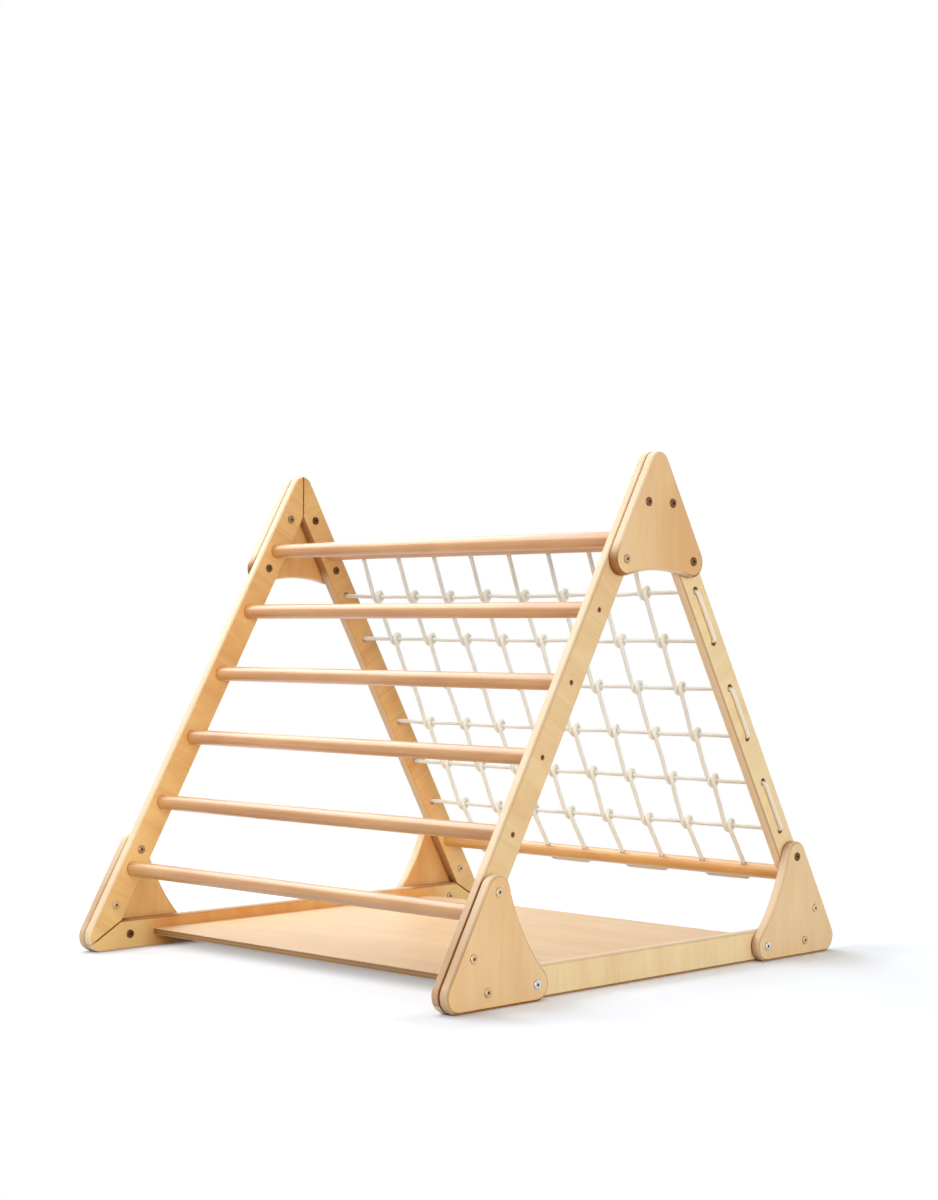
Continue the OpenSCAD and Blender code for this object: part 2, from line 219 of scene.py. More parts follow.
def ring_values(here, following):
    """Values of ring_quads' face corners, from those at each ring's points and at the points after them."""
    return np.stack([here[:-1], following[:-1], following[1:], here[1:]], 2)


def columns(*parts):
    """Arrays side by side, along a new last axis."""
    return np.stack(parts, -1)


def unit(vectors):
    """Vectors brought to length 1."""
    return vectors / np.linalg.norm(vectors, axis=-1, keepdims=True)


def cross_2d(a, b):
    """The cross products of flat vectors."""
    return a[:, 0] * b[:, 1] - a[:, 1] * b[:, 0]


def raised(flat, level):
    """Flat points or directions with their third part."""
    return joined([flat, np.broadcast_to(level, (*flat.shape[:-1], 1))], -1)


def arc(centre, radius, start, end, count):
    """Points on an arc, from one angle to the other in radians, ends included."""
    a = np.linspace(start, end, count)
    return np.asarray(centre) + radius * columns(np.cos(a), np.sin(a))


def circle(count):
    """Points round a circle of radius 1, from angle 0."""
    return arc((0, 0), 1, 0, TURN, count + 1)[:-1]


def edge_normals(outline):
    """Outward unit normals of a counter-clockwise outline's edges. Edge i starts at point i."""
    along = unit(np.roll(outline, -1, 0) - outline)
    return columns(along[:, 1], -along[:, 0])


def inset_vectors(outline, ease):
    """How each point of an outline moves when edge i moves in by ease[i].

    The move v has v . n = -ease on both of the point's edges, so the edges stay parallel to themselves.
    """
    after = edge_normals(outline)
    before = np.roll(after, 1, 0)
    d_after, d_before = ease[:, None], np.roll(ease, 1)[:, None]
    cross = cross_2d(before, after)[:, None]
    flat = np.abs(cross) < 1e-3
    turned = (d_before * after - d_after * before)[:, ::-1] * [1, -1] / -np.where(flat, 1.0, cross)
    straight = -d_after * (after + before) / (1 + (after * before).sum(1, keepdims=True))
    return np.where(flat, straight, turned)


SMOOTH_TURN = math.cos(math.radians(32))
EASE_STEPS = 6
HOLE_POINTS = 40
LONGEST_EDGE = 0.020
# How far in from the wall, as a part of the ease, the painted shade of a groove and the dark line of an arris start
# and grow full
GROOVE_FADE, ARRIS_FADE = (0.05, 0.23), (0.08, 0.38)


def split_edges(outline, *kinds):
    """Cuts an outline's long edges into even pieces. kinds are arrays that go with the edges."""
    along = np.roll(outline, -1, 0) - outline
    pieces = np.ceil(np.linalg.norm(along, axis=1) / LONGEST_EDGE).astype(int)
    edge = np.repeat(np.arange(len(outline)), pieces)
    part = (np.arange(len(edge)) - np.repeat(np.cumsum(pieces) - pieces, pieces)) / pieces[edge]
    return (outline[edge] + part[:, None] * along[edge], *(kind[edge] for kind in kinds))


def hole(levels, centre, radius, rim):
    """A bore through a plate, with broken rims."""
    low, high = levels
    return centre, (radius + rim, radius, radius, radius + rim), (low, low + rim, high - rim, high)


def eased_plate(outline, ease, low, high, bores, dark_joint_and_shade, bore_dark):
    """A flat plate between two levels with rounded edges, in its own axes [u, v, level].

    Ring k of the wall stands in from the outline by ease * (1 - cos a) and lies depth * (1 - sin a)
    below its face, with a from 0 on the wall to 90 degrees at the face. A bore is (centre, radii,
    levels), from low to high: it is open where it meets a face, and else has a floor. The dark marks
    hold how dark each edge is, at the low and the high side in turn: in the groove there, over the
    wall, and on the arris. They paint dark joints at the mitres and dark arris lines, and otherwise
    painted shade: in the grooves, on walls beside the plates, along bottom edges and with the end
    grain at the lobes. bore_dark is painted shade on the walls of the bores.
    Gives points, quads, tris, and the normals and dark marks of the face corners.
    """
    a = np.linspace(0, TURN / 4, EASE_STEPS + 1)
    inset, drop = 1 - np.cos(a), ease.max() * (1 - np.sin(a))
    stand_in = joined([inset[::-1], inset])
    level = joined([low + drop[::-1], high - drop])
    tilt = joined([-np.sin(a)[::-1], np.sin(a)])[:, None, None]
    flat = outline + stand_in[:, None, None] * inset_vectors(outline, ease)
    points = [raised(flat, level[:, None, None]).reshape(-1, 3)]
    quads = [ring_quads(len(level), len(outline))]

    after = edge_normals(outline)
    before = np.roll(after, 1, 0)
    soft = ((after * before).sum(1) > SMOOTH_TURN)[:, None]
    at_start = np.where(soft, unit(after + before), after)
    at_end = np.roll(np.where(soft, unit(after + before), before), -1, 0)
    normals = [ring_values(*(raised(np.sqrt(1 - tilt ** 2) * n, tilt) for n in (at_start, at_end))).reshape(-1, 3)]

    towards_low = joined([inset[::-1], 0 * inset])[:, None]
    groove, arris = (np.clip((towards_low - start) / (full - start), 0, 1)
                     for start, full in (GROOVE_FADE, ARRIS_FADE))
    rising = ((level - low) / (high - low))[:, None]
    weights = groove, groove[::-1], 1 - rising, rising, arris, arris[::-1]
    dark = np.clip(sum(weight * row for weight, row in zip(weights, dark_joint_and_shade)), 0, 1)
    marks = ring_values(dark, np.roll(dark, -1, 1)).ravel()

    total = len(points[0])
    caps = [(flat[0], 0)], [(flat[-1], total - len(outline))]
    around = circle(HOLE_POINTS)
    tris, tri_normals = [], []
    for centre, radii, levels in bores:
        rims = centre + np.array(radii)[:, None, None] * around
        points.append(raised(rims, np.array(levels)[:, None, None]).reshape(-1, 3))
        quads.append(ring_quads(len(levels), HOLE_POINTS, total, inward=True))
        for rise, widening in unit(columns(np.diff(levels), np.diff(radii))):
            wall = raised(-rise * around, widening)
            following = np.roll(wall, -1, 0)
            normals.append(np.stack([wall, following, following, wall], 1).reshape(-1, 3))
        firsts = total, total + (len(levels) - 1) * HOLE_POINTS
        total += len(levels) * HOLE_POINTS
        for end, face in ((0, low), (-1, high)):
            if levels[end] == face:
                caps[end].append((rims[end], firsts[end]))
                continue
            points.append([[*centre, levels[end]]])
            ring = firsts[end] + np.arange(HOLE_POINTS)
            fan = columns(ring, np.roll(ring, -1), np.full(HOLE_POINTS, total))
            tris.append(fan[:, ::-1] if end else fan)
            tri_normals.append(np.tile([0, 0, -1.0 if end else 1.0], (3 * HOLE_POINTS, 1)))
            total += 1
    for loops, sign in zip(caps, (-1.0, 1.0)):
        numbers = joined([first + np.arange(len(loop)) for loop, first in loops])
        where = joined([loop for loop, _ in loops])
        found = np.array(tessellate_polygon([raised(loop, 0.0).tolist() for loop, _ in loops]))
        p, q, r = (where[found[:, k]] for k in range(3))
        wrong = cross_2d(q - p, r - p) * sign < 0
        found[wrong] = found[wrong][:, ::-1]
        tris.append(numbers[found])
        tri_normals.append(np.tile([0, 0, sign], (3 * len(found), 1)))
    bored = 4 * sum(len(q) for q in quads[1:])
    normals = joined(normals + tri_normals)
    marks = joined([marks, np.full(bored, bore_dark), np.zeros(len(normals) - len(marks) - bored)])
    return joined(points), joined(quads), joined(tris), normals, marks


# How much darker each sheet is than most: in the middle and past SHEET_ENDS, or at the deck's left and right end.
# Partly each sheet's own tone, partly painted shade and light: the deck grows darker towards its right end, and the
# left frame's rails are lighter at their ends than in the middle
SHEET_TONES_AND_SHADE = {"ladder_rail_right": (0.15, 0.15), "net_rail_right": (-0.35, -0.35), "base_rail_right": (-0.3, -0.3),
          "base_rail_left": (0.25, -0.5), "net_rail_left": (0.05, -0.3), "net_foot_gusset_left": (0.1, 0.1),
          "ladder_rail_left": (-0.15, -0.4), "ladder_foot_gusset_left": (-0.2, -0.2),
          "net_foot_gusset_right": (-0.15, -0.15), "apex_gusset_right": (0.25, 0.25), "deck_panel": (-0.35, 0.4)}
SHEET_ENDS = (0.35, 0.42)
# How much darker a plate's face grows per metre towards the net side
LEANS = {"apex_gusset_right": 5.0}
# How far each next seed moves a sheet's grain, along it and across it
GRAIN_MOVES = np.array([1.7, 0.31])


def plank(name, finish, outline, ease, levels, grain, side=0, bores=(), dark_joint_and_shade=(), bore_dark=0.0, seed=0):
    """An eased plate as a piece: upright with its levels along X in a frame, or lying, where side is 0.

    levels, bores and the dark marks of joints and painted shade are given for the right frame, and are mirrored for
    the left. The dark marks come in pairs of rows.
    grain is the angle of the grain in the outline's plane. Its attribute "grain" holds, in metres, how far
    a point lies along the grain, across it and in from the plate's back, which faces the other frame or the floor.
    """
    step = side or 1
    levels = [step * x for x in levels[::step]]
    bores = [(centre, radii[::step], [step * x for x in xs[::step]]) for centre, radii, xs in bores]
    dark_joint_and_shade = np.array(dark_joint_and_shade, float)[:, ::step].reshape(6, -1) if len(dark_joint_and_shade) else np.zeros((6, len(outline)))
    points, quads, tris, normals, marks = eased_plate(outline, ease, *levels, bores, dark_joint_and_shade, bore_dark)
    c, s = math.cos(grain), math.sin(grain)
    flat = points[:, :2] @ np.array([[c, -s], [s, c]]) + GRAIN_MOVES * seed
    own = raised(flat, (levels[1] - points[:, 2:] if side < 0 else points[:, 2:] - levels[0]))
    # The sheet's tone, partly its own and partly painted shade and light
    tones = SHEET_TONES_AND_SHADE.get(name, (0.0, 0.0))
    if side:
        points, normals = points[:, [2, 0, 1]], normals[:, [2, 0, 1]]
    corners = points[face_corners(quads, tris)]
    if side:
        middle, ends = (tone + LEANS.get(name, 0.0) * corners[:, 1] for tone in tones)
    else:
        middle = ends = np.interp(corners[:, 0], (points[:, 0].min(), points[:, 0].max()), tones)
    make_piece(name, finish, points, quads, tris, normals, grain=own,
               marks={"dark_joint_and_shade": marks, "sheet": middle, "end_sheet": ends})


# ---- finishes

NOISE_ROUGHNESS = 0.55


class Graph:
    """Adds nodes to one node tree and joins their sockets."""

    def __init__(self, tree):
        self.tree = tree

    def feed(self, node, inputs):
        """Sets a node's inputs, each to a value or to another node's socket."""
        for key, value in inputs.items():
            if isinstance(value, bpy.types.NodeSocket):
                self.tree.links.new(value, node.inputs[key])
            else:
                node.inputs[key].default_value = value

    def node(self, kind, inputs=(), **settings):
        """The outputs of a new node. Inputs are in a dictionary or in order."""
        made = self.tree.nodes.new("ShaderNode" + kind)
        for key, value in settings.items():
            setattr(made, key, value)
        self.feed(made, inputs if isinstance(inputs, dict) else dict(enumerate(inputs)))
        return made.outputs

    def math(self, operation, *values):
        return self.node("Math", values, operation=operation)[0]

    def add(self, *values):
        return reduce(lambda a, b: self.math("ADD", a, b), values)

    def minus(self, a, b):
        return self.math("SUBTRACT", a, b)

    def mul(self, *values):
        return reduce(lambda a, b: self.math("MULTIPLY", a, b), values)

    def size(self, value):
        return self.math("ABSOLUTE", value)

    def mark(self, name):
        return self.node("Attribute", attribute_name=name)["Fac"]

    def grain(self):
        return self.node("Attribute", attribute_name="grain")["Vector"]

    def here(self):
        """The place in the object's own axes."""
        return self.node("TexCoord")["Object"]

    def part(self, vector, k):
        return self.node("SeparateXYZ", [vector])[k]

    def mix(self, factor, a, b):
        return self.node("Mix", {0: factor, 6: a, 7: b}, data_type="RGBA")[2]

    def span(self, value, low, high, to_low=0.0, to_high=1.0, kind="SMOOTHSTEP"):
        """Maps low..high to to_low..to_high."""
        return self.node("MapRange", (value, low, high, to_low, to_high), interpolation_type=kind)[0]

    def noise(self, vector, scale, detail):
        """Noise from 0 to 1, with its coordinates multiplied by a scale for each axis."""
        where = self.node("VectorMath", (vector, scale), operation="MULTIPLY")[0]
        return self.node("TexNoise", {"Vector": where, "Scale": 1.0, "Detail": detail,
                                      "Roughness": NOISE_ROUGHNESS})["Fac"]

    def bump(self, strength, distance, height):
        return self.node("Bump", {"Strength": strength, "Distance": distance, "Height": height})[0]

    def toned(self, tone, *parts):
        """Adds up (value, strength) pairs around a middle tone, each value counted from 0.5."""
        tone = self.add(tone, *(self.mul(self.minus(value, 0.5), strength) for value, strength in parts))
        return self.span(tone, 0.0, 1.0, kind="LINEAR")


def new_finish(name):
    """A material's graph, its Principled BSDF and the material itself."""
    material = bpy.data.materials.new(name)
    material.use_nodes = True
    return Graph(material.node_tree), material.node_tree.nodes["Principled BSDF"], material


def colour(srgb):
    """A linear colour from its sRGB values, 0 to 255."""
    c = np.array(srgb) / 255
    linear = np.where(c <= 0.04045, c / 12.92, ((c + 0.055) / 1.055) ** 2.4)
    return (*linear.tolist(), 1.0)


# The brown of dark joints, and of painted shade in grooves, holes and along bottom edges
JOINT_AND_SHADE_BROWN = colour((160, 102, 46))
GLUE_BROWN = colour((150, 98, 56))
FLECK_BROWN = colour((150, 94, 54))
# Painted shade and painted dark reflections on steel, where the tone mark is low
PAINTED_SHADE_AND_DARK_REFLECTION = colour((92, 50, 20))
# Painted warm light, bounced off the rails, on the rope loops outside them
LOOP_BOUNCE_LIGHT = colour((253, 238, 218))
VENEER = 0.35
# Length and width of what the grain's noises draw
FIBRE, FIGURE, FLECK, PATCH = (0.030, 0.0007), (0.42, 0.075), (0.006, 0.0006), (0.22, 0.060)
YARNS, YARN_PITCH = 8, 0.011


def wood_grain(g, own, streak, lines):
    """Wood grain from 0 to 1, on coordinates in metres: x along the grain, y across it.

    Streaks and fibres are noise drawn out along the grain, broad and fine. Figure is the sine of many
    times a slow noise, whose level lines wave like peeled veneer. Flecks are short dark dashes, and
    patches are slow changes of tone.
    """
    def drawn(size, detail):
        length, width = size
        return g.noise(own, (1 / length, 1 / width, 1 / width), detail)

    waves = g.math("SINE", g.mul(drawn(FIGURE, 1.5), lines, TURN))
    return (drawn(streak, 3.0), drawn(FIBRE, 2.0), g.add(g.mul(waves, 0.5), 0.5),
            g.span(drawn(FLECK, 1.0), 0.62, 0.72), drawn(PATCH, 2.0))


def ply_layers(g, depth, sheet, ply):
    """Plywood from the depth below its back: 1 in every second ply, on the glue lines, between the face
    veneers, and in the half away from the back.
    """
    number = g.math("DIVIDE", depth, ply)
    dark = g.math("COMPARE", g.math("MODULO", g.math("FLOOR", number), 2.0), 1.0, 0.4)
    line = g.size(g.minus(g.math("FRACT", number), 0.5))
    inside = g.mul(g.math("GREATER_THAN", depth, VENEER * ply), g.math("LESS_THAN", depth, sheet - VENEER * ply))
    return dark, g.mul(g.span(line, 0.38, 0.48), inside), inside, g.math("GREATER_THAN", depth, sheet / 2)


def plywood_finish(name, front, back, edge, sheet, plies, glue, streaks):
    """Lacquered birch plywood: peeled veneer on its faces, and plies where an edge is cut or rounded.

    front, back and edge are pairs of a light and a dark colour. On the frames the back is a deeper orange, painted
    shade and warm bounce light on the faces that face the other frame. sheet is its thickness, and glue and streaks
    are how clear its glue lines and its grain are. It turns brown with the mark of dark joints and shade, and its
    sheet marks give each piece a tone that is partly its own and partly painted shade.
    """
    g, shader, material = new_finish(name)
    front, back, edge = ([colour(c) for c in pair] for pair in (front, back, edge))
    own = g.grain()
    streaky, fibres, figure, _, patches = wood_grain(g, own, (0.14, 0.0045), 9.0)
    dark, glued, inside, at_front = ply_layers(g, g.part(own, 2), sheet, sheet / plies)
    dark_joint_and_shade, middle, ends = (g.mark(key) for key in ("dark_joint_and_shade", "sheet", "end_sheet"))
    at_end = g.span(g.size(g.part(g.here(), 1)), *SHEET_ENDS)
    tone = g.toned(g.add(0.5, middle, g.mul(at_end, g.minus(ends, middle))), (streaky, streaks),
                   (fibres, 0.5 * streaks), (figure, 0.3 * streaks), (patches, 1.1))
    face = g.mix(at_front, g.mix(tone, *back), g.mix(tone, *front))
    side = g.mix(g.toned(0.5, (dark, 0.5), (fibres, 0.08), (patches, 0.6)), *edge)
    side = g.mix(g.mul(glued, glue), side, GLUE_BROWN)
    g.feed(shader, {
        "Base Color": g.mix(dark_joint_and_shade, g.mix(inside, face, side), JOINT_AND_SHADE_BROWN),
        "Roughness": g.add(g.span(streaky, 0.2, 0.8, 0.40, 0.52), g.mul(dark_joint_and_shade, 0.4)),
        "Specular IOR Level": g.span(dark_joint_and_shade, 0.0, 0.8, 0.5, 0.05),
        "Normal": g.bump(g.span(inside, 0.0, 1.0, 0.2, 0.05), 0.0003, fibres),
        "Coat Weight": g.span(dark_joint_and_shade, 0.0, 0.8, 0.15, 0.0),
        "Coat Roughness": 0.30,
    })
    return material


def beech_finish(name, light, dark):
    """Lacquered beech dowel: fine lines along it with short dark flecks, and painted shade on the walls of its rope
    holes, where the mark of dark joints and shade is.
    """
    g, shader, material = new_finish(name)
    streaky, fibres, figure, flecks, patches = wood_grain(g, g.grain(), (0.22, 0.0022), 5.0)
    tone = g.toned(0.5, (streaky, 1.2), (fibres, 0.4), (patches, 1.2), (figure, 0.25))
    shown = g.mix(g.mul(flecks, 0.3), g.mix(tone, colour(light), colour(dark)), FLECK_BROWN)
    g.feed(shader, {
        "Base Color": g.mix(g.mark("dark_joint_and_shade"), shown, JOINT_AND_SHADE_BROWN),
        "Roughness": g.span(streaky, 0.2, 0.8, 0.34, 0.46),
        "Normal": g.bump(0.15, 0.0003, fibres),
        "Coat Weight": 0.9,
        "Coat Roughness": 0.3,
    })
    return material


def rope_finish(name, light, shade, knot_light):
    """Braided cotton rope on its UV map: u once round, v in metres along.

    Its yarns cross, with painted shade in the valleys and fine fibres. It is painted lighter and warmer in knots, for
    light scattered among their strands, and warmer in the loops outside the rails, for light bounced off the wood.
    """
    g, shader, material = new_finish(name)
    light, shade, knot_light = (colour(c) for c in (light, shade, knot_light))
    own = g.node("UVMap", uv_map="UVMap")[0]
    around, along = g.mul(g.part(own, 0), YARNS), g.mul(g.math("DIVIDE", g.part(own, 1), YARN_PITCH), YARNS / 2)
    height = g.math("MAXIMUM", *(g.size(g.math("SINE", g.mul(turns, math.pi)))
                                 for turns in (g.add(around, along), g.minus(around, along))))
    fibres = g.noise(own, (40.0, 900.0, 1.0), 3.0)
    shown = g.mix(g.span(height, 0.45, 0.95), shade, light)
    shown = g.mix(g.mul(g.span(fibres, 0.4, 0.7), 0.12), shown, shade)
    # Painted light in the knots
    shown = g.mix(g.mark("knot"), shown, knot_light)
    # Painted warm bounce light on the loops outside the rails
    outside = g.span(g.size(g.part(g.here(), 0)), X_RAIL - 0.004, X_RAIL + 0.002)
    g.feed(shader, {
        "Base Color": g.mix(outside, shown, LOOP_BOUNCE_LIGHT),
        "Normal": g.bump(0.4, 0.0004, g.add(height, g.mul(fibres, 0.3))),
        "Subsurface Weight": 0.5,
        "Subsurface Scale": 0.004,
        "Subsurface Radius": (0.8, 0.95, 1.0),
        "Roughness": 0.85,
        "Sheen Weight": 0.3,
        "Sheen Roughness": 0.5,
    })
    return material


def steel_finish(name, tint, smooth, rough):
    """Plated steel: fine turned marks, a slightly uneven plating, and dark where the "tone" mark is low: painted shade
    in sockets and down the heads' sides, and painted dark reflections on whole heads.
    """
    g, shader, material = new_finish(name)
    tint = colour(tint)
    cloudy = g.noise(g.here(), (260.0,) * 3, 3.0)
    plating = g.mix(g.span(cloudy, 0.3, 0.7), tint, (*(0.8 * c for c in tint[:3]), 1.0))
    g.feed(shader, {
        "Base Color": g.mix(g.mark("tone"), PAINTED_SHADE_AND_DARK_REFLECTION, plating),
        "Roughness": g.span(cloudy, 0.3, 0.7, smooth, rough),
        "Normal": g.bump(0.15, 0.0002, g.noise(g.here(), (2500.0,) * 3, 2.0)),
        "Metallic": 1.0,
    })
    return material


BIRCH = ((250, 224, 172), (226, 182, 124))
# The frames' back colours, on faces that face the other frame: a deeper orange for painted shade and warm bounce light
BIRCH_SHADED_BACK = ((252, 208, 136), (214, 144, 68))
BIRCH_EDGE = ((250, 228, 196), (234, 200, 154))
FINISHES = {name: make(name, *given) for name, (make, *given) in {
    "rail_plywood": (plywood_finish, BIRCH, BIRCH_SHADED_BACK, BIRCH_EDGE, 18 * MM, 13, 0.1, 0.38),
    # The left base rail's own plywood: a back in painted shade and warm bounce light, and fainter streaks
    "deep_rail_plywood": (plywood_finish, BIRCH, ((252, 208, 136), (222, 150, 72)), BIRCH_EDGE, 18 * MM, 13, 0.1, 0.2),
    "gusset_plywood": (plywood_finish, ((248, 216, 166), (228, 178, 118)), BIRCH_SHADED_BACK, BIRCH_EDGE, 18 * MM, 13,
                       0.1, 0.22),
    "deck_plywood": (plywood_finish, ((246, 216, 172), (227, 189, 138)), ((244, 210, 170), (226, 184, 138)),
                     ((192, 150, 98), (142, 102, 58)), 12 * MM, 5, 0.5, 0.25),
    "rung_beech": (beech_finish, (223, 168, 106), (192, 129, 68)),
    "dowel_beech": (beech_finish, (230, 176, 98), (202, 136, 56)),
    "rope_cotton": (rope_finish, (248, 248, 243), (227, 228, 220), (255, 249, 232)),
    "steel": (steel_finish, (232, 204, 160), 0.24, 0.38),
    "zinc_steel": (steel_finish, (222, 226, 224), 0.18, 0.30),
    "dark_steel": (steel_finish, (150, 96, 56), 0.35, 0.5),
}.items()}

# ---- rails, plates and deck

EDGE_EASE = 0.0045
MITRE_EASE = 0.0015
PLATE_COVER = 0.184
# How dark a lobe's end is, its end grain with painted shade, and over what length that fades into the hollow
END_GRAIN_AND_SHADE = 0.9
END_GRAIN_AND_SHADE_FADE = 0.030
# Painted contact shade along the bottom edges, near the floor
UNDER = 0.6
# Painted shade in the left frame's grooves between plate and rail
FAR_GROOVE = 0.12
FOOT_HEIGHTS, FOOT_PLATE_TOP = (0.1, 0.2), 0.3
# Over which heights the painted shade in the groove at the apex plate's tip grows fainter, on the right
TIP_HEIGHTS, TIP_GROOVE = (0.70, 0.74), (1.0, 0.3)
# How dark the inner edge is of each rail, beside the plates and between them: painted shade
INNER_DARK = {"net_rail_left": (0.85, 0.3), "base_rail_left": (0.7, 0.25), "ladder_rail_left": (0.2, 0.0)}
# How dark a rail's wall is beside its foot plate, at the FOOT_HEIGHTS: painted shade
FOOT_WALL_DARK = {"ladder_rail_right": (0.46, 0.18)}
HOLE_RIM = 0.8 * MM
BROKEN = 0.1 * MM
CORNER_POINTS = 25
# Painted shade on the walls of the rails' bores, in the right frame and the left
BORE_DARK = {1: 0.85, -1: 0.2}
# The corners of each rail, how dark its arris line is, its round wood, and (place, radius, rim) of its own holes
RAILS = {
    "ladder_rail": (APEX, LADDER_FOOT, 0.35, RUNG_PLACES, []),
    "net_rail": (NET_FOOT, APEX, 0.6, DOWEL_PLACES,
                 [(net_point(hole_at(i)), RAIL_HOLE_D / 2, HOLE_RIM) for i in range(1, ROW_COUNT + 1)]),
    "base_rail": (LADDER_FOOT, NET_FOOT, 0.45, [], [(p, BOLT_D / 2 + PLAY, BROKEN) for p in DECK_BOLTS]),
}
# The corner of each plate, how dark its arris line is, its end grain with painted shade at its lobes towards its back
# and its front, and its wall all round at the FOOT_HEIGHTS, and how bright its bolts are: low values paint dark
# reflections
PLATES = {
    "apex": (APEX, 0.15, (1.3, 0.9), (0.0, 0.0), (0.15, 0.65, 0.12, 0.12)),
    "ladder_foot": (LADDER_FOOT, 0.3, (0.4, 0.14), (0.28, 0.0), (0.85, 0.9, 1.0)),
    "net_foot": (NET_FOOT, 0.25, (0.9, 0.2), (0.03, 0.03), (0.95, 0.1, 0.85)),
}


def rail_outline(a, b):
    """A mitred rail between two corners, counter-clockwise as [y, z], with rounded outer corners.

    Gives the points, how far each edge is eased, and which edges are mitres. Its outer side is on its right.
    """
    run = (CORNERS[b] - CORNERS[a]) / SIDE_LEN
    out = np.array([run[1], -run[0]])
    turn = math.atan2(out[1], out[0])

    def corner_arc(corner, sign):
        """From the tangent point on the outer edge to the mitre, in the rail's own sense."""
        inwards = np.array([math.cos(BISECTORS[corner]), math.sin(BISECTORS[corner])])
        r = CORNER_RADII[corner]
        reach = math.radians(60) - MITRE_GAP * math.cos(TURN / 12) / r
        return arc(CORNERS[corner] + (2 * r - RAIL_W) * inwards, r, turn, turn + sign * reach, CORNER_POINTS)

    half_in = SIDE_LEN / 2 - RAIL_W / 2 / math.tan(TURN / 12) - MITRE_GAP
    inner = (CORNERS[a] + CORNERS[b]) / 2 - RAIL_W / 2 * out
    outline = joined([corner_arc(a, -1)[::-1], corner_arc(b, 1), [inner + half_in * run, inner - half_in * run]])
    mitre = np.isin(np.arange(len(outline)), (2 * CORNER_POINTS - 1, len(outline) - 1))
    return split_edges(outline, np.where(mitre, MITRE_EASE, EDGE_EASE), mitre)


def ladder_side(outline):
    """How far an outline's edges face the ladder side: 1 where they do, down to 0.15 where they face away."""
    return np.clip(0.6 - edge_normals(outline)[:, 0], 0.15, 1)


def groove_dark(outline, side):
    """How dark the painted shade in the groove between plate and rail is along an outline: least round the tip and on
    the left.
    """
    return np.interp(outline[:, 1], TIP_HEIGHTS, TIP_GROOVE) if side > 0 else np.full(len(outline), FAR_GROOVE)


def low_down(outline):
    """1 at an outline's points near the floor, fading over 3 mm."""
    return np.clip((0.004 - outline[:, 1]) / 0.003, 0, 1)


def plate_outline(corner):
    """A gusset plate, counter-clockwise as [y, z]: a rounded corner, two round lobes and a hollow inner edge.

    Gives the points, how far each edge is eased, which edges lie on a rail, and how dark its end grain with
    painted shade is: most where a lobe faces along its rail, fading out into the hollow.
    """
    r, tip_r = RAIL_W / 2, CORNER_RADII[corner]
    lobe = BOLT_FAR * np.array([math.cos(TURN / 12), math.sin(TURN / 12)])
    hollow_r = (lobe[1] ** 2 + GUSSET_SAG ** 2) / (2 * GUSSET_SAG) - r
    hollow_x = lobe[0] + r - GUSSET_SAG + hollow_r
    towards = math.atan2(-lobe[1], hollow_x - lobe[0])
    sweep = math.atan2(lobe[1], lobe[0] - hollow_x)
    upper_lobe = arc(lobe, r, towards, TURN / 3, 34)
    tip_arc = arc((2 * tip_r - RAIL_W, 0.0), tip_r, TURN / 3, TURN * 2 / 3, 49)
    lower_lobe = arc(lobe * [1, -1], r, TURN * 2 / 3, TURN - towards, 34)
    hollow_arc = arc((hollow_x, 0.0), hollow_r, TURN - sweep, sweep, 40)[1:-1]
    shape = joined([upper_lobe, tip_arc, lower_lobe, hollow_arc])
    c, s = math.cos(BISECTORS[corner]), math.sin(BISECTORS[corner])
    outline = CORNERS[corner] + shape @ np.array([[c, s], [-s, c]])
    on_rail = np.arange(len(outline)) < len(outline) - len(hollow_arc)
    lobe_turn = np.linspace(towards, TURN / 3, len(upper_lobe))
    end_grain_and_shade = END_GRAIN_AND_SHADE * np.clip(1.2 * np.cos(lobe_turn - math.radians(50)), 0, 1)
    into = np.linspace(0, 2 * hollow_r * (TURN / 2 - sweep), len(hollow_arc))
    fade = end_grain_and_shade[0] * np.clip(1 - np.minimum(into, into[::-1]) / END_GRAIN_AND_SHADE_FADE, 0, 1)
    end_grain_and_shade = joined([end_grain_and_shade, np.zeros(len(tip_arc)), end_grain_and_shade[::-1], fade])
    return split_edges(outline, np.full(len(outline), EDGE_EASE), on_rail, end_grain_and_shade)


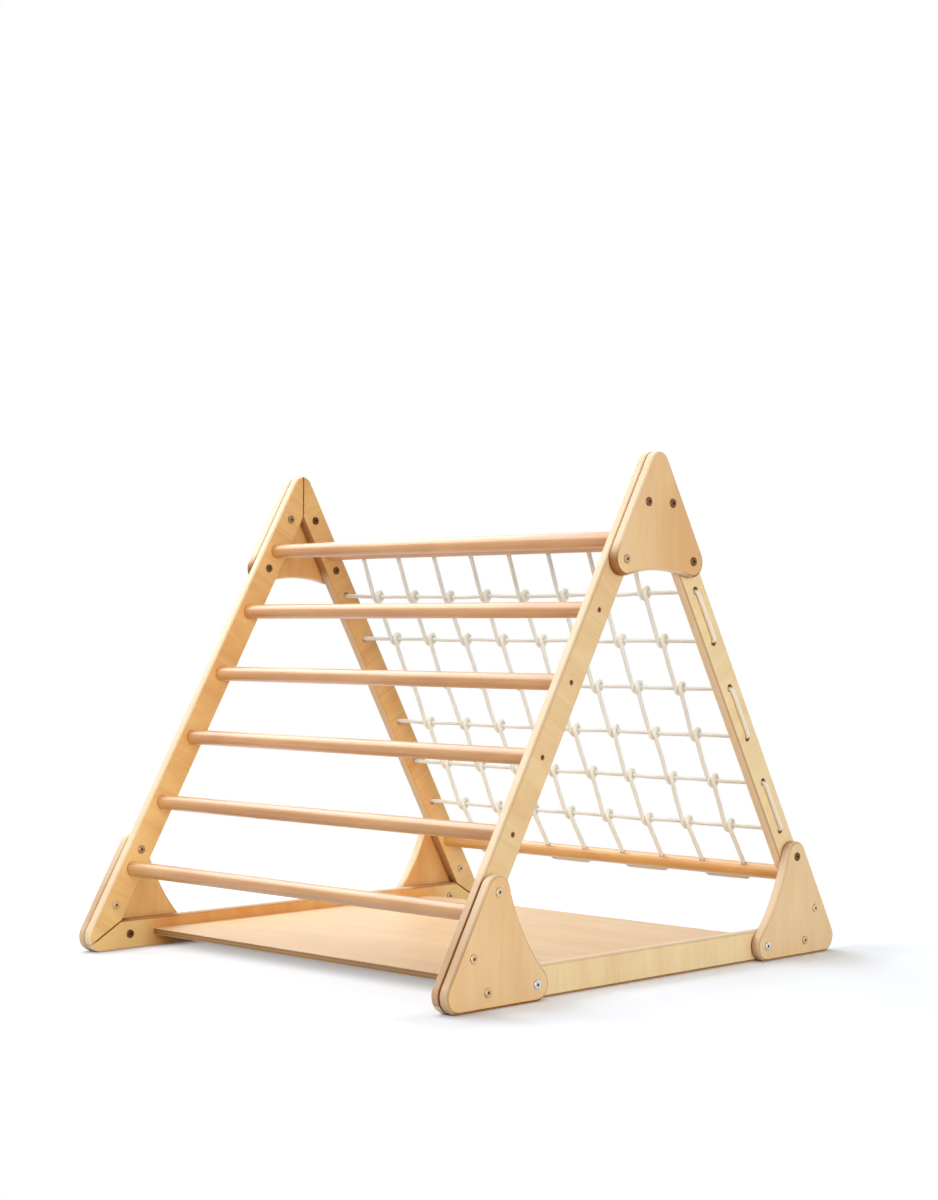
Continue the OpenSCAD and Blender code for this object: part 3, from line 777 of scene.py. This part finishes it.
def make_rails():
    """The six rails, with bores for sleeve nuts, sockets for rungs, rope holes and sunk screw holes."""
    for kind, (a, b, line_dark, sockets, own_holes) in RAILS.items():
        outline, ease, mitre = rail_outline(a, b)
        run = (CORNERS[b] - CORNERS[a]) / SIDE_LEN
        out = np.array([run[1], -run[0]])
        far = np.abs((outline - (CORNERS[a] + CORNERS[b]) / 2) @ run)
        covered = (far > SIDE_LEN / 2 - PLATE_COVER) & ~mitre
        inward = edge_normals(outline) @ out < -0.9
        arris = line_dark * (~mitre & ~covered) * ladder_side(outline) + UNDER * low_down(outline) * ~covered
        holes = [(p, SLEEVE_D / 2 + PLAY, BROKEN) for p in FRAME_BOLTS
                 if abs((p - CORNERS[a]) @ out) < RAIL_W / 4] + own_holes
        bores = [hole((X_IN, X_RAIL), *given) for given in holes]
        for p in sockets:
            bores += [(p, (RUNG_R + SOCKET_PLAY,) * 2, (X_IN, X_IN + SOCKET_DEPTH)),
                      (p, (SCREW_D / 2, SCREW_HEAD_D / 2 + PLAY), (X_RAIL - SCREW_HEAD_D / 2, X_RAIL))]
        for word, side in SIDES.items():
            name = f"{kind}_{word}"
            beside, between = INNER_DARK.get(name, (0.0, 0.0))
            foot_wall = np.interp(outline[:, 1], FOOT_HEIGHTS, FOOT_WALL_DARK.get(name, (0.0, 0.0)))
            wall = np.maximum(mitre, inward * (between + (beside - between) * covered))
            wall = np.maximum(wall, foot_wall * covered * (outline[:, 1] < FOOT_PLATE_TOP))
            groove = covered * groove_dark(outline, side)
            plank(name, "deep_rail_plywood" if name == "base_rail_left" else "rail_plywood", outline, ease,
                  (X_IN, X_RAIL), math.atan2(run[1], run[0]) + TURN / 4, side, bores,
                  ((0 * groove, groove), (wall, wall), (0 * arris, arris)), BORE_DARK[side], len(name) + 3 * side)


def make_gussets():
    """The six gusset plates, drilled for their bolts."""
    for number, (kind, (corner, line_dark, lobes, all_round, _)) in enumerate(PLATES.items()):
        outline, ease, on_rail, end_grain_and_shade = plate_outline(corner)
        bores = [hole((X_RAIL, X_PLATE), p, BOLT_D / 2 + PLAY, BROKEN)
                 for p in PLATE_BOLTS[corner] + DECK_BOLTS[corner:corner + 1]]
        arris = line_dark * ladder_side(outline) + UNDER * low_down(outline)
        plain = np.interp(outline[:, 1], FOOT_HEIGHTS, all_round)
        for word, side in SIDES.items():
            groove = on_rail * groove_dark(outline, side)
            plank(f"{kind}_gusset_{word}", "gusset_plywood", outline, ease, (X_RAIL, X_PLATE), TURN / 4, side, bores,
                  ((groove, 0 * groove), [plain + dark * end_grain_and_shade for dark in lobes], (0 * arris, arris)),
                  seed=2.3 * number + 5 * side + 8)


DECK_EASE = 0.0015
DECK_CORNER_R = 0.004
NUT_R = 0.005
QUARTERS = ((1, -1), (1, 1), (-1, 1), (-1, -1))


def make_deck():
    """The deck: a sheet with finely eased edges and small corner radii, and four blind holes for barrel nuts."""
    low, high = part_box("deck_panel")
    x, y = high.x - DECK_CORNER_R, high.y - DECK_CORNER_R
    outline = joined([arc((sx * x, sy * y), DECK_CORNER_R, (k - 1) * TURN / 4, k * TURN / 4, 8)
                      for k, (sx, sy) in enumerate(QUARTERS)])
    bores = [(p, (NUT_R + PLAY,) * 2, (low.z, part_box("barrel_nuts")[1].z)) for p in nut_places()]
    plank("deck_panel", "deck_plywood", outline, np.full(len(outline), DECK_EASE), (low.z, high.z), 0.0,
          bores=bores, seed=4)


# ---- turned pieces

TURN_POINTS = 48


def turned(profile, count=TURN_POINTS):
    """A solid of revolution about X. profile holds (x, radius, 6 for a hexagon or 0 for a circle, tone).

    A ring's point at angle t lies at radius / cos(t') on a hexagon, where t' is t from the middle of the
    nearest flat. The first and last entries lie on the axis. tone is how bright the steel is there: low values
    paint shade and dark reflections.
    """
    x, r, corners, tones = np.array(profile, float).T
    t = np.linspace(0, TURN, count, endpoint=False)
    from_flat = (t + TURN / 12) % (TURN / 6) - TURN / 12
    reach = r[:, None] / np.where(corners[:, None] == 6, np.cos(from_flat), 1)
    rings = columns(np.broadcast_to(x[:, None], reach.shape), reach * np.cos(t), reach * np.sin(t))[1:-1]
    points = joined([rings.reshape(-1, 3), [[x[0], 0, 0], [x[-1], 0, 0]]])
    i = np.arange(count)
    after, last = (i + 1) % count, (len(rings) - 1) * count
    start, end = (np.full(count, len(points) - k) for k in (2, 1))
    tris = joined([columns(after, i, start), columns(last + i, last + after, end)])
    return points, ring_quads(len(rings), count), tris, np.append(np.repeat(tones[1:-1], count), tones[[0, -1]])


def at_places(solid, side, places, strengths=None):
    """Copies of a turned solid at [y, z] places, on the right or mirrored to the left, with their tones' strengths."""
    points, quads, tris, tones = solid
    return [(points * [side, 1, 1] + [0, *p], quads[:, ::side], tris[:, ::side], tones * k)
            for p, k in zip(places, strengths or [1] * len(places))]


def both_sides(solid, places):
    """Copies of a turned solid at [y, z] places in both frames."""
    return at_places(solid, 1, places) + at_places(solid, -1, places)


def steel_piece(name, finish, solids):
    """Solids as one piece, with their tones marked on its face corners."""
    points, quads, tris, tones = zip(*solids)
    firsts = np.cumsum([0] + [len(p) for p in points])
    quads, tris = (joined([k + first for k, first in zip(numbers, firsts)]) for numbers in (quads, tris))
    make_piece(name, finish, joined(points), quads, tris, sharp=35,
               marks={"tone": joined(tones)[face_corners(quads, tris)]})


def head_profile(x_face, x_top):
    """A flat head from its socket's floor: a hexagon socket in painted shade, a flat ring, a rounded rim and its face,
    painted darker down the side towards the face.
    """
    rim = 0.5 * (x_top - x_face)
    rounded = [(x_top - rim + rim * math.sin(v), HEAD_D / 2 - rim + rim * math.cos(v), 0, 0.45 + 0.55 * math.sin(v))
               for v in np.linspace(TURN / 4, 0, 5)]
    return [(x_top - HEX_DEPTH - 0.1 * HEX_AF, 0, 0, 0.2), (x_top - HEX_DEPTH, 0.46 * HEX_AF, 6, 0.2),
            (x_top - 0.2 * MM, HEX_AF / 2, 6, 0.5), (x_top, HEX_AF / 2 + 0.15 * MM, 6, 0.9),
            (x_top, HEX_AF / 2 + 0.3 * MM, 6, 1), *rounded, (x_face, HEAD_D / 2, 0, 0.1)]


# How bright the sleeve nuts are, in the order of FRAME_BOLTS: low values paint dark reflections
NUT_REFLECTION_TONES = (0.08, 0.9, 0.5, 0.7, 0.9, 0.6, 0.3, 0.12, 0.03, 0.06)
SHANK_TONE = 0.6
# How far a bolt's tip lies from the rail's inner face, how long a deck bolt is, and how much shorter a sleeve nut is
# than its bore
TIP_IN, DECK_BOLT_LEN, SLEEVE_SHORT = 0.005, 0.06, 0.003


def bolt(x_tip):
    """A flat-headed bolt from the plate's face to a chamfered tip."""
    shank = [(X_PLATE, BOLT_D / 2), (x_tip + 0.0006, BOLT_D / 2), (x_tip, BOLT_D / 2 - 0.0006), (x_tip, 0)]
    return turned((head_profile(X_PLATE, X_HEAD) + [(x, r, 0, SHANK_TONE) for x, r in shank])[::-1])


def make_bolts():
    """Flat-headed bolts through the plates, sleeve nuts in the rails and screws in the rung ends."""
    nut = [(-x, r, k, tone) for x, r, k, tone in head_profile(-X_IN, -X_IN + X_HEAD - X_PLATE)]
    sleeve = (X_IN, SLEEVE_D / 2), (X_RAIL - SLEEVE_SHORT, SLEEVE_D / 2), (X_RAIL - SLEEVE_SHORT, 0)
    nut += [(x, r, 0, SHANK_TONE) for x, r in sleeve]
    top, sink_depth = X_RAIL - PLAY, (SCREW_HEAD_D - SCREW_D) / 2
    # Its head is painted darker under its edge and in its socket: painted shade
    screw = turned([(top - below, r, k, tone) for below, r, k, tone in (
        (0.040, 0, 0, 0.6), (0.038, SCREW_D / 2, 0, 0.6), (sink_depth, SCREW_D / 2, 0, 0.6),
        (0.0003, SCREW_HEAD_D / 2, 0, 0.2), (0, SCREW_HEAD_D / 2 - 0.0004, 0, 1), (0, 0.0019, 6, 1),
        (0.0001, 0.0015, 6, 0.1), (0.002, 0.0014, 6, 0), (0.0025, 0, 0, 0))])
    for word, side in SIDES.items():
        for kind, (corner, *_, bright) in PLATES.items():
            steel_piece(f"{kind}_bolts_{word}", "steel",
                        at_places(bolt(X_IN + TIP_IN), side, PLATE_BOLTS[corner], bright))
    steel_piece("deck_bolts", "zinc_steel", both_sides(bolt(X_PLATE - DECK_BOLT_LEN), DECK_BOLTS))
    for stem, finish, solid, places, bright in (("sleeve_nuts", "steel", turned(nut), FRAME_BOLTS, NUT_REFLECTION_TONES),
                                                ("rung_screws", "dark_steel", screw, RUNG_PLACES, None)):
        for word, side in SIDES.items():
            steel_piece(f"{stem}_{word}", finish, at_places(solid, side, places, bright))
    steel_piece("net_dowel_screws", "dark_steel", both_sides(screw, DOWEL_PLACES))


def nut_places():
    """[x, y] of the four barrel nuts."""
    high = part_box("barrel_nuts")[1]
    return [np.array([sx * (high.x - NUT_R), sy * (high.y - NUT_R)]) for sx in (1, -1) for sy in (1, -1)]


def make_barrel_nuts():
    """Upright barrel nuts in the deck, each a round pin with finely broken edges."""
    low, high = (corner.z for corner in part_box("barrel_nuts"))
    broken, tone = 0.4 * MM, 0.8
    points, quads, tris, tones = turned([(z, r, 0, tone) for z, r in (
        (low, 0), (low, NUT_R - broken), (low + broken, NUT_R), (high - broken, NUT_R), (high, NUT_R - broken),
        (high, 0))])
    steel_piece("barrel_nuts", "steel", [(points[:, [1, 2, 0]] + [x, y, 0], quads, tris, tones)
                                         for x, y in nut_places()])


def grain_along_x(points, centre, seed):
    """The "grain" attribute of a dowel: along X, and its own two cross axes, moved on by a seed."""
    return points - [0, *centre] + np.array([1.3, 0.37, 0.11]) * seed


RUNG_EASE = 0.0010


def make_rungs():
    """Six round rungs with finely rounded ends."""
    ends = [(-RUNG_END, 0, 0, 1), (-RUNG_END, RUNG_R - RUNG_EASE, 0, 1), (-RUNG_END + RUNG_EASE, RUNG_R, 0, 1)]
    stations = [(x, RUNG_R, 0, 1) for x in np.linspace(-RUNG_END + 0.02, RUNG_END - 0.02, 24)]
    points, quads, tris, _ = turned(ends + stations + [(-x, *rest) for x, *rest in ends[::-1]], 64)
    for i, centre in enumerate(RUNG_PLACES, 1):
        moved = points + [0, *centre]
        make_piece(f"rung_{i}", "rung_beech", moved, quads, tris, grain=grain_along_x(moved, centre, i), sharp=30)


def upright_x(i):
    """X of upright rope i, 1 to 8 from the left."""
    return (i - (UPRIGHT_COUNT + 1) / 2) * UPRIGHT_PITCH


S_AXIS = np.array([0.0, -COS60, SIN60])
N_AXIS = np.array([0.0, SIN60, COS60])
X_AXIS = np.array([1.0, 0.0, 0.0])
RIM_POINTS = 28
DOWEL_LINES = 49
# Where the dowel's grid has lines beside a hole
HOLE_LINES = np.array([-12, -9, -7, -5, -3, -1, 1, 3, 5, 7, 9, 12]) * MM
# Painted shade on the walls of the dowels' rope holes
DOWEL_HOLE_DARK = 0.9
# A hole's own side of the dowel, in radians from its axis. The grid keeps clear of a hole's edge, and faces
# whose middles lie well inside that edge are left out
SAME_SIDE, GRID_CLEAR, WELL_INSIDE = 1.5, 0.9 * MM, 0.985


def make_drilled_dowel(name, centre, finish, seed):
    """A net dowel, drilled for the upright ropes.

    Its skin is worked out unrolled, as [x, angle]: a grid of points, less those in the holes, joined with
    each hole's own edge. At angle t round a hole of radius a, that edge lies at x + a cos t and at angle
    asin(a sin t / R), or at 180 degrees less that on the far side.
    """
    hole_r = DOWEL_HOLE_D / 2
    t = np.linspace(0, TURN, RIM_POINTS, endpoint=False)
    lean = np.arcsin(hole_r * np.sin(t) / RUNG_R)
    xs = [upright_x(i) for i in range(1, UPRIGHT_COUNT + 1)]
    rims = np.stack([columns(x + hole_r * np.cos(t), angle) for x in xs for angle in (lean, TURN / 2 - lean)])
    around = np.linspace(-TURN / 4, TURN * 3 / 4, DOWEL_LINES)
    lines = joined([x + HOLE_LINES for x in xs] + [np.linspace(-RUNG_END, RUNG_END, 25)])
    grid = np.stack(np.meshgrid(np.unique(np.round(lines, 5)), around, indexing="ij"), -1).reshape(-1, 2)

    def in_holes(places, reach):
        """Whether [x, angle] places lie within a reach of a hole's axis, on one side of the dowel."""
        found = np.zeros(len(places), bool)
        for x in xs:
            for middle in (0.0, TURN / 2):
                turn = places[:, 1] - middle
                off = np.hypot(places[:, 0] - x, RUNG_R * np.sin(np.clip(turn, -SAME_SIDE, SAME_SIDE)))
                found |= (off < reach) & (np.abs(turn) < SAME_SIDE)
        return found

    flat = joined([rims.reshape(-1, 2), grid[~in_holes(grid, hole_r + GRID_CLEAR)]])
    ring = np.arange(len(rims) * RIM_POINTS).reshape(-1, RIM_POINTS)
    edges = columns(ring, np.roll(ring, -1, 1)).reshape(-1, 2).tolist()
    found = delaunay_2d_cdt([Vector(p) for p in flat * [1.0, RUNG_R]], edges, [], 0, 1e-7)
    where, tris = np.array([list(v) for v in found[0]]) / [1.0, RUNG_R], np.array(found[2])
    tris = tris[~in_holes(where[tris].mean(1), WELL_INSIDE * hole_r)]

    # The last line round is the first one again
    start, end = (np.flatnonzero(np.isclose(where[:, 1], a)) for a in around[[0, -1]])
    number = np.arange(len(where))
    number[end[np.argsort(where[end, 0])]] = start[np.argsort(where[start, 0])]
    tris = number[tris]
    base = np.array([0.0, *centre])
    radial = np.cos(where[:, 1:]) * S_AXIS + np.sin(where[:, 1:]) * N_AXIS
    points = joined([base + where[:, :1] * X_AXIS + RUNG_R * radial, base + [[-RUNG_END, 0, 0], [RUNG_END, 0, 0]]])

    near, far = ring[::2], ring[1::2]
    quads = columns(near, np.roll(near, -1, 1), np.roll(far, -1, 1), far).reshape(-1, 4)
    wall = -(np.cos(t)[:, None] * X_AXIS + np.sin(t)[:, None] * N_AXIS)
    following = np.roll(wall, -1, 0)
    normals = [np.tile(np.stack([wall, following, following, wall], 1).reshape(-1, 3), (len(xs), 1)),
               radial[tris].reshape(-1, 3)]
    tris = [tris]
    for sign, middle in ((-1, len(where)), (1, len(where) + 1)):
        rim = np.flatnonzero(np.isclose(where[:, 0], sign * RUNG_END) & (number == np.arange(len(where))))
        rim = rim[np.argsort(where[rim, 1])]
        fan = columns(rim, np.roll(rim, -1), np.full(len(rim), middle))
        tris.append(fan[:, ::-sign])
        normals.append(np.tile([float(sign), 0.0, 0.0], (3 * len(fan), 1)))
    used, packed = np.unique(face_corners(quads, joined(tris)), return_inverse=True)
    points, quads, tris = points[used], packed[:quads.size].reshape(-1, 4), packed[quads.size:].reshape(-1, 3)
    dark = np.repeat([DOWEL_HOLE_DARK, 0.0], [quads.size, tris.size])
    make_piece(name, finish, points, quads, tris, joined(normals),
               grain=grain_along_x(points, centre, seed), marks={"dark_joint_and_shade": dark})


# ---- net

TURN_R = ROPE_D + 1.2 * MM
TURN_SHIFT = ROPE_D + 2.2 * MM
BEND_R = 1.35 * ROPE_R
ROPE_STEP = 1.6 * MM
ROPE_POINTS = 20
ROW_SAG = (0.0045, 0.0015, 0.0010, 0.0012, 0.0008, 0.0010)
ROW_RIPPLE, UPRIGHT_RIPPLE = 0.0009, 0.0014
KNOT_SWELL, KNOT_EDGE = 0.20, 1.4
ROPE_SWELL = 0.02
SWELL_LENGTHS = (0.047, 0.021, 0.093)
PATH_SOFT, SIDE_SOFT = 1.7 * MM, 2.5 * MM


def in_net(x, s, n):
    """Points in the net: x across, s up the rail and n out of the triangle, as arrays."""
    x, s, n = (v[..., None] for v in np.broadcast_arrays(*(np.asarray(v, float) for v in (x, s, n))))
    return np.array([0.0, *CORNERS[NET_FOOT]]) + x * X_AXIS + s * S_AXIS + n * N_AXIS


def waves(place, *kinds):
    """A sum of sines. Each kind is (length, start as a part of a turn, strength)."""
    return sum(strength * np.sin(TURN * (place / length + start)) for length, start, strength in kinds)


def row_wave(i, x):
    """How far cross rope i lies above its hole line: a sag between the rails and a slight waviness."""
    free = np.clip(1 - (np.abs(x) / X_IN) ** 2, 0, 1)
    ripple = waves(x, (0.21, 0.37 * i, 1), (0.133, 0.61 * i, 0.6))
    return -ROW_SAG[i - 1] * free + ROW_RIPPLE * ripple * np.sqrt(free)


def upright_wave(i, s):
    """How far upright rope i strays along X between the dowels."""
    free = np.sin(TURN / 2 * np.clip((s - DOWEL_ROWS[0]) / (DOWEL_ROWS[1] - DOWEL_ROWS[0]), 0, 1))
    return UPRIGHT_RIPPLE * free * waves(s, (0.31, 0.43 * i, 1), (0.17, 0.29 * i, 0.7))


def quarter(x, s, number):
    """A quarter turn of rope in the net's plane about [x, s]: its points, and the side that each keeps."""
    a = (number + np.linspace(0, 1, 9)) * TURN / 4
    return (in_net(x - BEND_R * np.cos(a), s - BEND_R * np.sin(a), 0),
            np.cos(a)[:, None] * X_AXIS + np.sin(a)[:, None] * S_AXIS)


def facing(points, side):
    """A run of rope that keeps one side."""
    return points, np.tile(side, (len(points), 1))


def cross_path(pair):
    """Two neighbouring cross ropes: along the lower hole line, round outside the right rail and back."""
    x_turn = X_RAIL + ROPE_R + FACE_PLAY - BEND_R
    low, high = 2 * pair, 2 * pair - 1
    x = np.linspace(-X_RAIL + 0.004, X_RAIL - 0.004, 120)
    return [quarter(-x_turn, row_at(low) + BEND_R, 0),
            facing(in_net(x, row_at(low) + row_wave(low, x), 0), S_AXIS),
            quarter(x_turn, row_at(low) + BEND_R, 1), quarter(x_turn, row_at(high) - BEND_R, 2),
            facing(in_net(-x, row_at(high) + row_wave(high, -x), 0), -S_AXIS),
            quarter(-x_turn, row_at(high) - BEND_R, 3)]


def upright_run(i):
    """One upright rope from the top dowel to the bottom one, with a full turn round each cross rope."""
    x0 = upright_x(i)
    a = np.linspace(0, TURN, 33)
    dowel = RUNG_R + 0.001
    parts = [in_net([x0], [DOWEL_ROWS[1] - dowel], [0.0])]
    for row in range(1, ROW_COUNT + 1):
        x = x0 + upright_wave(i, row_at(row))
        s = row_at(row) + row_wave(row, np.array(x))
        parts.append(in_net(x + TURN_SHIFT * (a / TURN - 0.5), s - TURN_R * np.sin(a), -TURN_R * np.cos(a)))
        if row < ROW_COUNT:
            middle = (row_at(row) + row_at(row + 1)) / 2
            parts.append(in_net([x0 + upright_wave(i, middle)], [middle], [-TURN_R]))
    parts.append(in_net([x0], [DOWEL_ROWS[0] + dowel], [0.0]))
    return joined(parts)


def upright_path(pair):
    """Two neighbouring uprights: down one, round under the bottom dowel, up the other and over the top dowel."""
    left, right = 2 * pair - 1, 2 * pair
    past = RUNG_R + ROPE_R + FACE_PLAY - BEND_R
    low, high = DOWEL_ROWS[0] - past, DOWEL_ROWS[1] + past
    x_left, x_right = upright_x(left) + BEND_R, upright_x(right) - BEND_R
    return [facing(upright_run(left), X_AXIS), quarter(x_left, low, 0), quarter(x_right, low, 1),
            facing(upright_run(right)[::-1], -X_AXIS), quarter(x_right, high, 2), quarter(x_left, high, 3)]


def endless_rope(name, path, seed):
    """A round rope along a closed path of (points, sides).

    The path is taken at even steps, and a Gaussian rounds its corners: its Fourier series is multiplied by
    exp(-(2 pi f sigma)^2 / 2). Each ring lies square to the path, its first point towards the side. The
    radius swells a little along the rope, and more in a knot, where the rope runs through the net's plane.
    """
    closed, closed_sides = (joined([*given, given[0][:1]]) for given in zip(*path))
    length = joined([[0], np.cumsum(np.linalg.norm(np.diff(closed, axis=0), axis=1))])
    whole = length[-1]
    fine = int(whole / (ROPE_STEP / 2)) // 2 * 2
    along = np.arange(fine) * whole / fine

    def smoothed(values, sigma):
        even = np.stack([np.interp(along, length, values[:, k]) for k in range(3)], -1)
        f = np.fft.fftfreq(fine, whole / fine)[:, None]
        return np.fft.ifft(np.fft.fft(even, axis=0) * np.exp(-(TURN * f * sigma) ** 2 / 2), axis=0).real

    line, side = smoothed(closed, PATH_SOFT), smoothed(closed_sides, SIDE_SOFT)
    tangent = unit(np.roll(line, -1, 0) - np.roll(line, 1, 0))
    line, side, tangent, along = line[::2], side[::2], tangent[::2], along[::2]
    side = unit(side - (side * tangent).sum(1, keepdims=True) * tangent)
    rng = np.random.default_rng(seed)
    swell = sum(np.sin(TURN * (along / w + rng.random())) for w in SWELL_LENGTHS) / len(SWELL_LENGTHS)
    in_knot = np.clip(KNOT_EDGE * np.abs(tangent @ N_AXIS), 0, 1)
    radius = ROPE_R * (1 + ROPE_SWELL * swell + KNOT_SWELL * in_knot)
    t = np.linspace(0, TURN, ROPE_POINTS, endpoint=False)[:, None]
    normal = np.cos(t) * side[:, None] + np.sin(t) * np.cross(tangent, side)[:, None]
    skin = line[:, None] + radius[:, None, None] * normal
    quads = ring_quads(len(line), ROPE_POINTS, closed=True)
    grid = np.stack(np.meshgrid(np.arange(ROPE_POINTS + 1) / ROPE_POINTS, np.append(along, whole)), -1)
    knots = np.repeat(in_knot, ROPE_POINTS)[quads.ravel()]
    make_piece(name, "rope_cotton", skin.reshape(-1, 3), quads, np.zeros((0, 3), np.int32),
               uv=ring_values(grid[:, :-1], grid[:, 1:]), marks={"knot": knots})


def make_net():
    """Three cross rope pairs and four upright rope pairs."""
    for pair in range(1, ROW_COUNT // 2 + 1):
        endless_rope(f"cross_rope_{pair}", cross_path(pair), pair)
    for pair in range(1, UPRIGHT_COUNT // 2 + 1):
        endless_rope(f"upright_rope_{pair}", upright_path(pair), 10 + pair)


# ---- floor and light

FLOOR_R = 14.0
FLOOR_WHITE_FROM, FLOOR_WHITE_TO = 0.75, 1.4
FLOOR_SHOWN, FLOOR_BOUNCE = (1.09, 1.13, 1.20, 1.0), (0.50, 0.50, 0.50, 1.0)
# The floor's painted shadow beside the frames on the net side, and round the ladder feet
FLOOR_SHADED, FLOOR_FOOT_SHADOW = (0.98, 1.01, 1.05, 1.0), (0.84, 0.86, 0.90, 1.0)
# How much the floor glows under the deck: painted light that lifts the deck's shadow
FLOOR_GLOW = 0.3, 0.75
WHITE = (1.0, 1.0, 1.0, 1.0)


def seen_rays(g):
    """1 for rays from the camera and for those that a glossy or clear surface sends on."""
    path = g.node("LightPath")
    seen = g.math("MAXIMUM", path["Is Camera Ray"], path["Is Glossy Ray"])
    return g.math("MAXIMUM", seen, path["Is Transmission Ray"])


def emptied(owner):
    """The graph of a material or a world, with no nodes yet."""
    owner.use_nodes = True
    owner.node_tree.nodes.clear()
    return Graph(owner.node_tree)


def make_floor():
    """A round white floor. Far from the object it is plain white to the camera, and near it keeps the shadows.

    Under the deck it glows a little towards the front and back: painted light that lifts the deck's shadow. Just
    outside the frames it is a little darker on the net side, and so it is round the ladder feet: a painted shadow.
    """
    rim = raised(FLOOR_R * circle(96), 0.0)
    mesh = bpy.data.meshes.new("floor")
    mesh.from_pydata(rim.tolist(), [], [list(range(len(rim)))])
    material = bpy.data.materials.new("floor")
    g = emptied(material)
    seen, where = seen_rays(g), g.here()
    reach = g.node("VectorMath", [where], operation="LENGTH")["Value"]
    y, off_x, off_y = g.part(where, 1), g.size(g.part(where, 0)), g.size(g.part(where, 1))
    # Painted light: a glow under the deck that lifts its shadow
    deck_shadow_lift = g.mul(g.span(off_x, 0.40, 0.46, 1.0, 0.0), g.span(off_y, 0.24, 0.42, *FLOOR_GLOW),
                  g.span(off_y, 0.46, 0.62, 1.0, 0.0))
    bright = g.math("MAXIMUM", g.span(reach, FLOOR_WHITE_FROM, FLOOR_WHITE_TO), deck_shadow_lift)
    # Painted shadow just outside the frames on the net side and round the ladder feet
    near = g.mul(g.span(off_x, 0.52, 0.70, 1.0, 0.0), g.span(off_y, 0.54, 0.72, 1.0, 0.0))
    beside = g.mul(near, g.span(off_x, 0.44, 0.48), g.span(y, -0.15, 0.10))
    foot_shadow = g.mul(near, g.span(off_x, 0.36, 0.44), g.span(y, -0.47, -0.40, 1.0, 0.0))
    shown = g.mix(foot_shadow, g.mix(beside, FLOOR_SHOWN, FLOOR_SHADED), FLOOR_FOOT_SHADOW)
    matt = g.node("BsdfDiffuse", {"Color": g.mix(seen, FLOOR_BOUNCE, shown)})[0]
    white = g.node("Emission", {"Color": WHITE, "Strength": 1.0})[0]
    g.node("OutputMaterial", {"Surface": g.node("MixShader", (g.mul(bright, seen), matt, white))[0]})
    mesh.materials.append(material)
    add_object("floor", mesh)


AMBIENT = 0.36
AMBIENT_TINT = (0.94, 0.97, 1.0, 1.0)


def make_world():
    """White to the camera and in reflections, and a soft even light otherwise."""
    world = bpy.data.worlds.new("studio")
    bpy.context.scene.world = world
    g = emptied(world)
    shown = g.node("Background", {"Color": WHITE, "Strength": 1.0})[0]
    light = g.node("Background", {"Color": AMBIENT_TINT, "Strength": AMBIENT})[0]
    g.node("OutputWorld", {"Surface": g.node("MixShader", (seen_rays(g), light, shown))[0]})


LAMP_AIM = Vector((0.0, 0.0, 0.3))
# Name: place, width, height, power in watts and colour
LAMPS = {
    "key": ((-2.6, -0.4, 2.8), 4.5, 1.6, 100.0, (1.0, 0.985, 0.96)),
    "front": ((-1.2, -3.4, 2.4), 1.6, 1.6, 43.0, (1.0, 0.985, 0.96)),
    "top": ((-0.3, 0.3, 3.0), 1.6, 1.6, 22.0, (1.0, 0.99, 0.97)),
    "fill": ((4.5, -1.3, 0.9), 2.2, 1.6, 98.0, (1.0, 0.985, 0.965)),
}


def make_lamps():
    """Large soft lamps: a long key on the left, smaller ones in front and above, and a fill on the right."""
    for name, (where, width, height, power, tint) in LAMPS.items():
        data = bpy.data.lights.new(name, "AREA")
        data.shape = "RECTANGLE"
        data.size, data.size_y, data.energy, data.color = width, height, power, tint
        lamp = add_object(name, data)
        lamp.location = where
        lamp.rotation_euler = (LAMP_AIM - Vector(where)).to_track_quat("-Z", "Y").to_euler()


# ---- the scene

make_rails()
make_gussets()
make_deck()
make_rungs()
make_drilled_dowel("net_top_dowel", DOWEL_PLACES[1], "rung_beech", 8)
make_drilled_dowel("net_bottom_dowel", DOWEL_PLACES[0], "dowel_beech", 9)
make_bolts()
make_barrel_nuts()
make_net()
make_floor()
make_world()
make_lamps()
bpy.context.scene.view_settings.view_transform = "Standard"
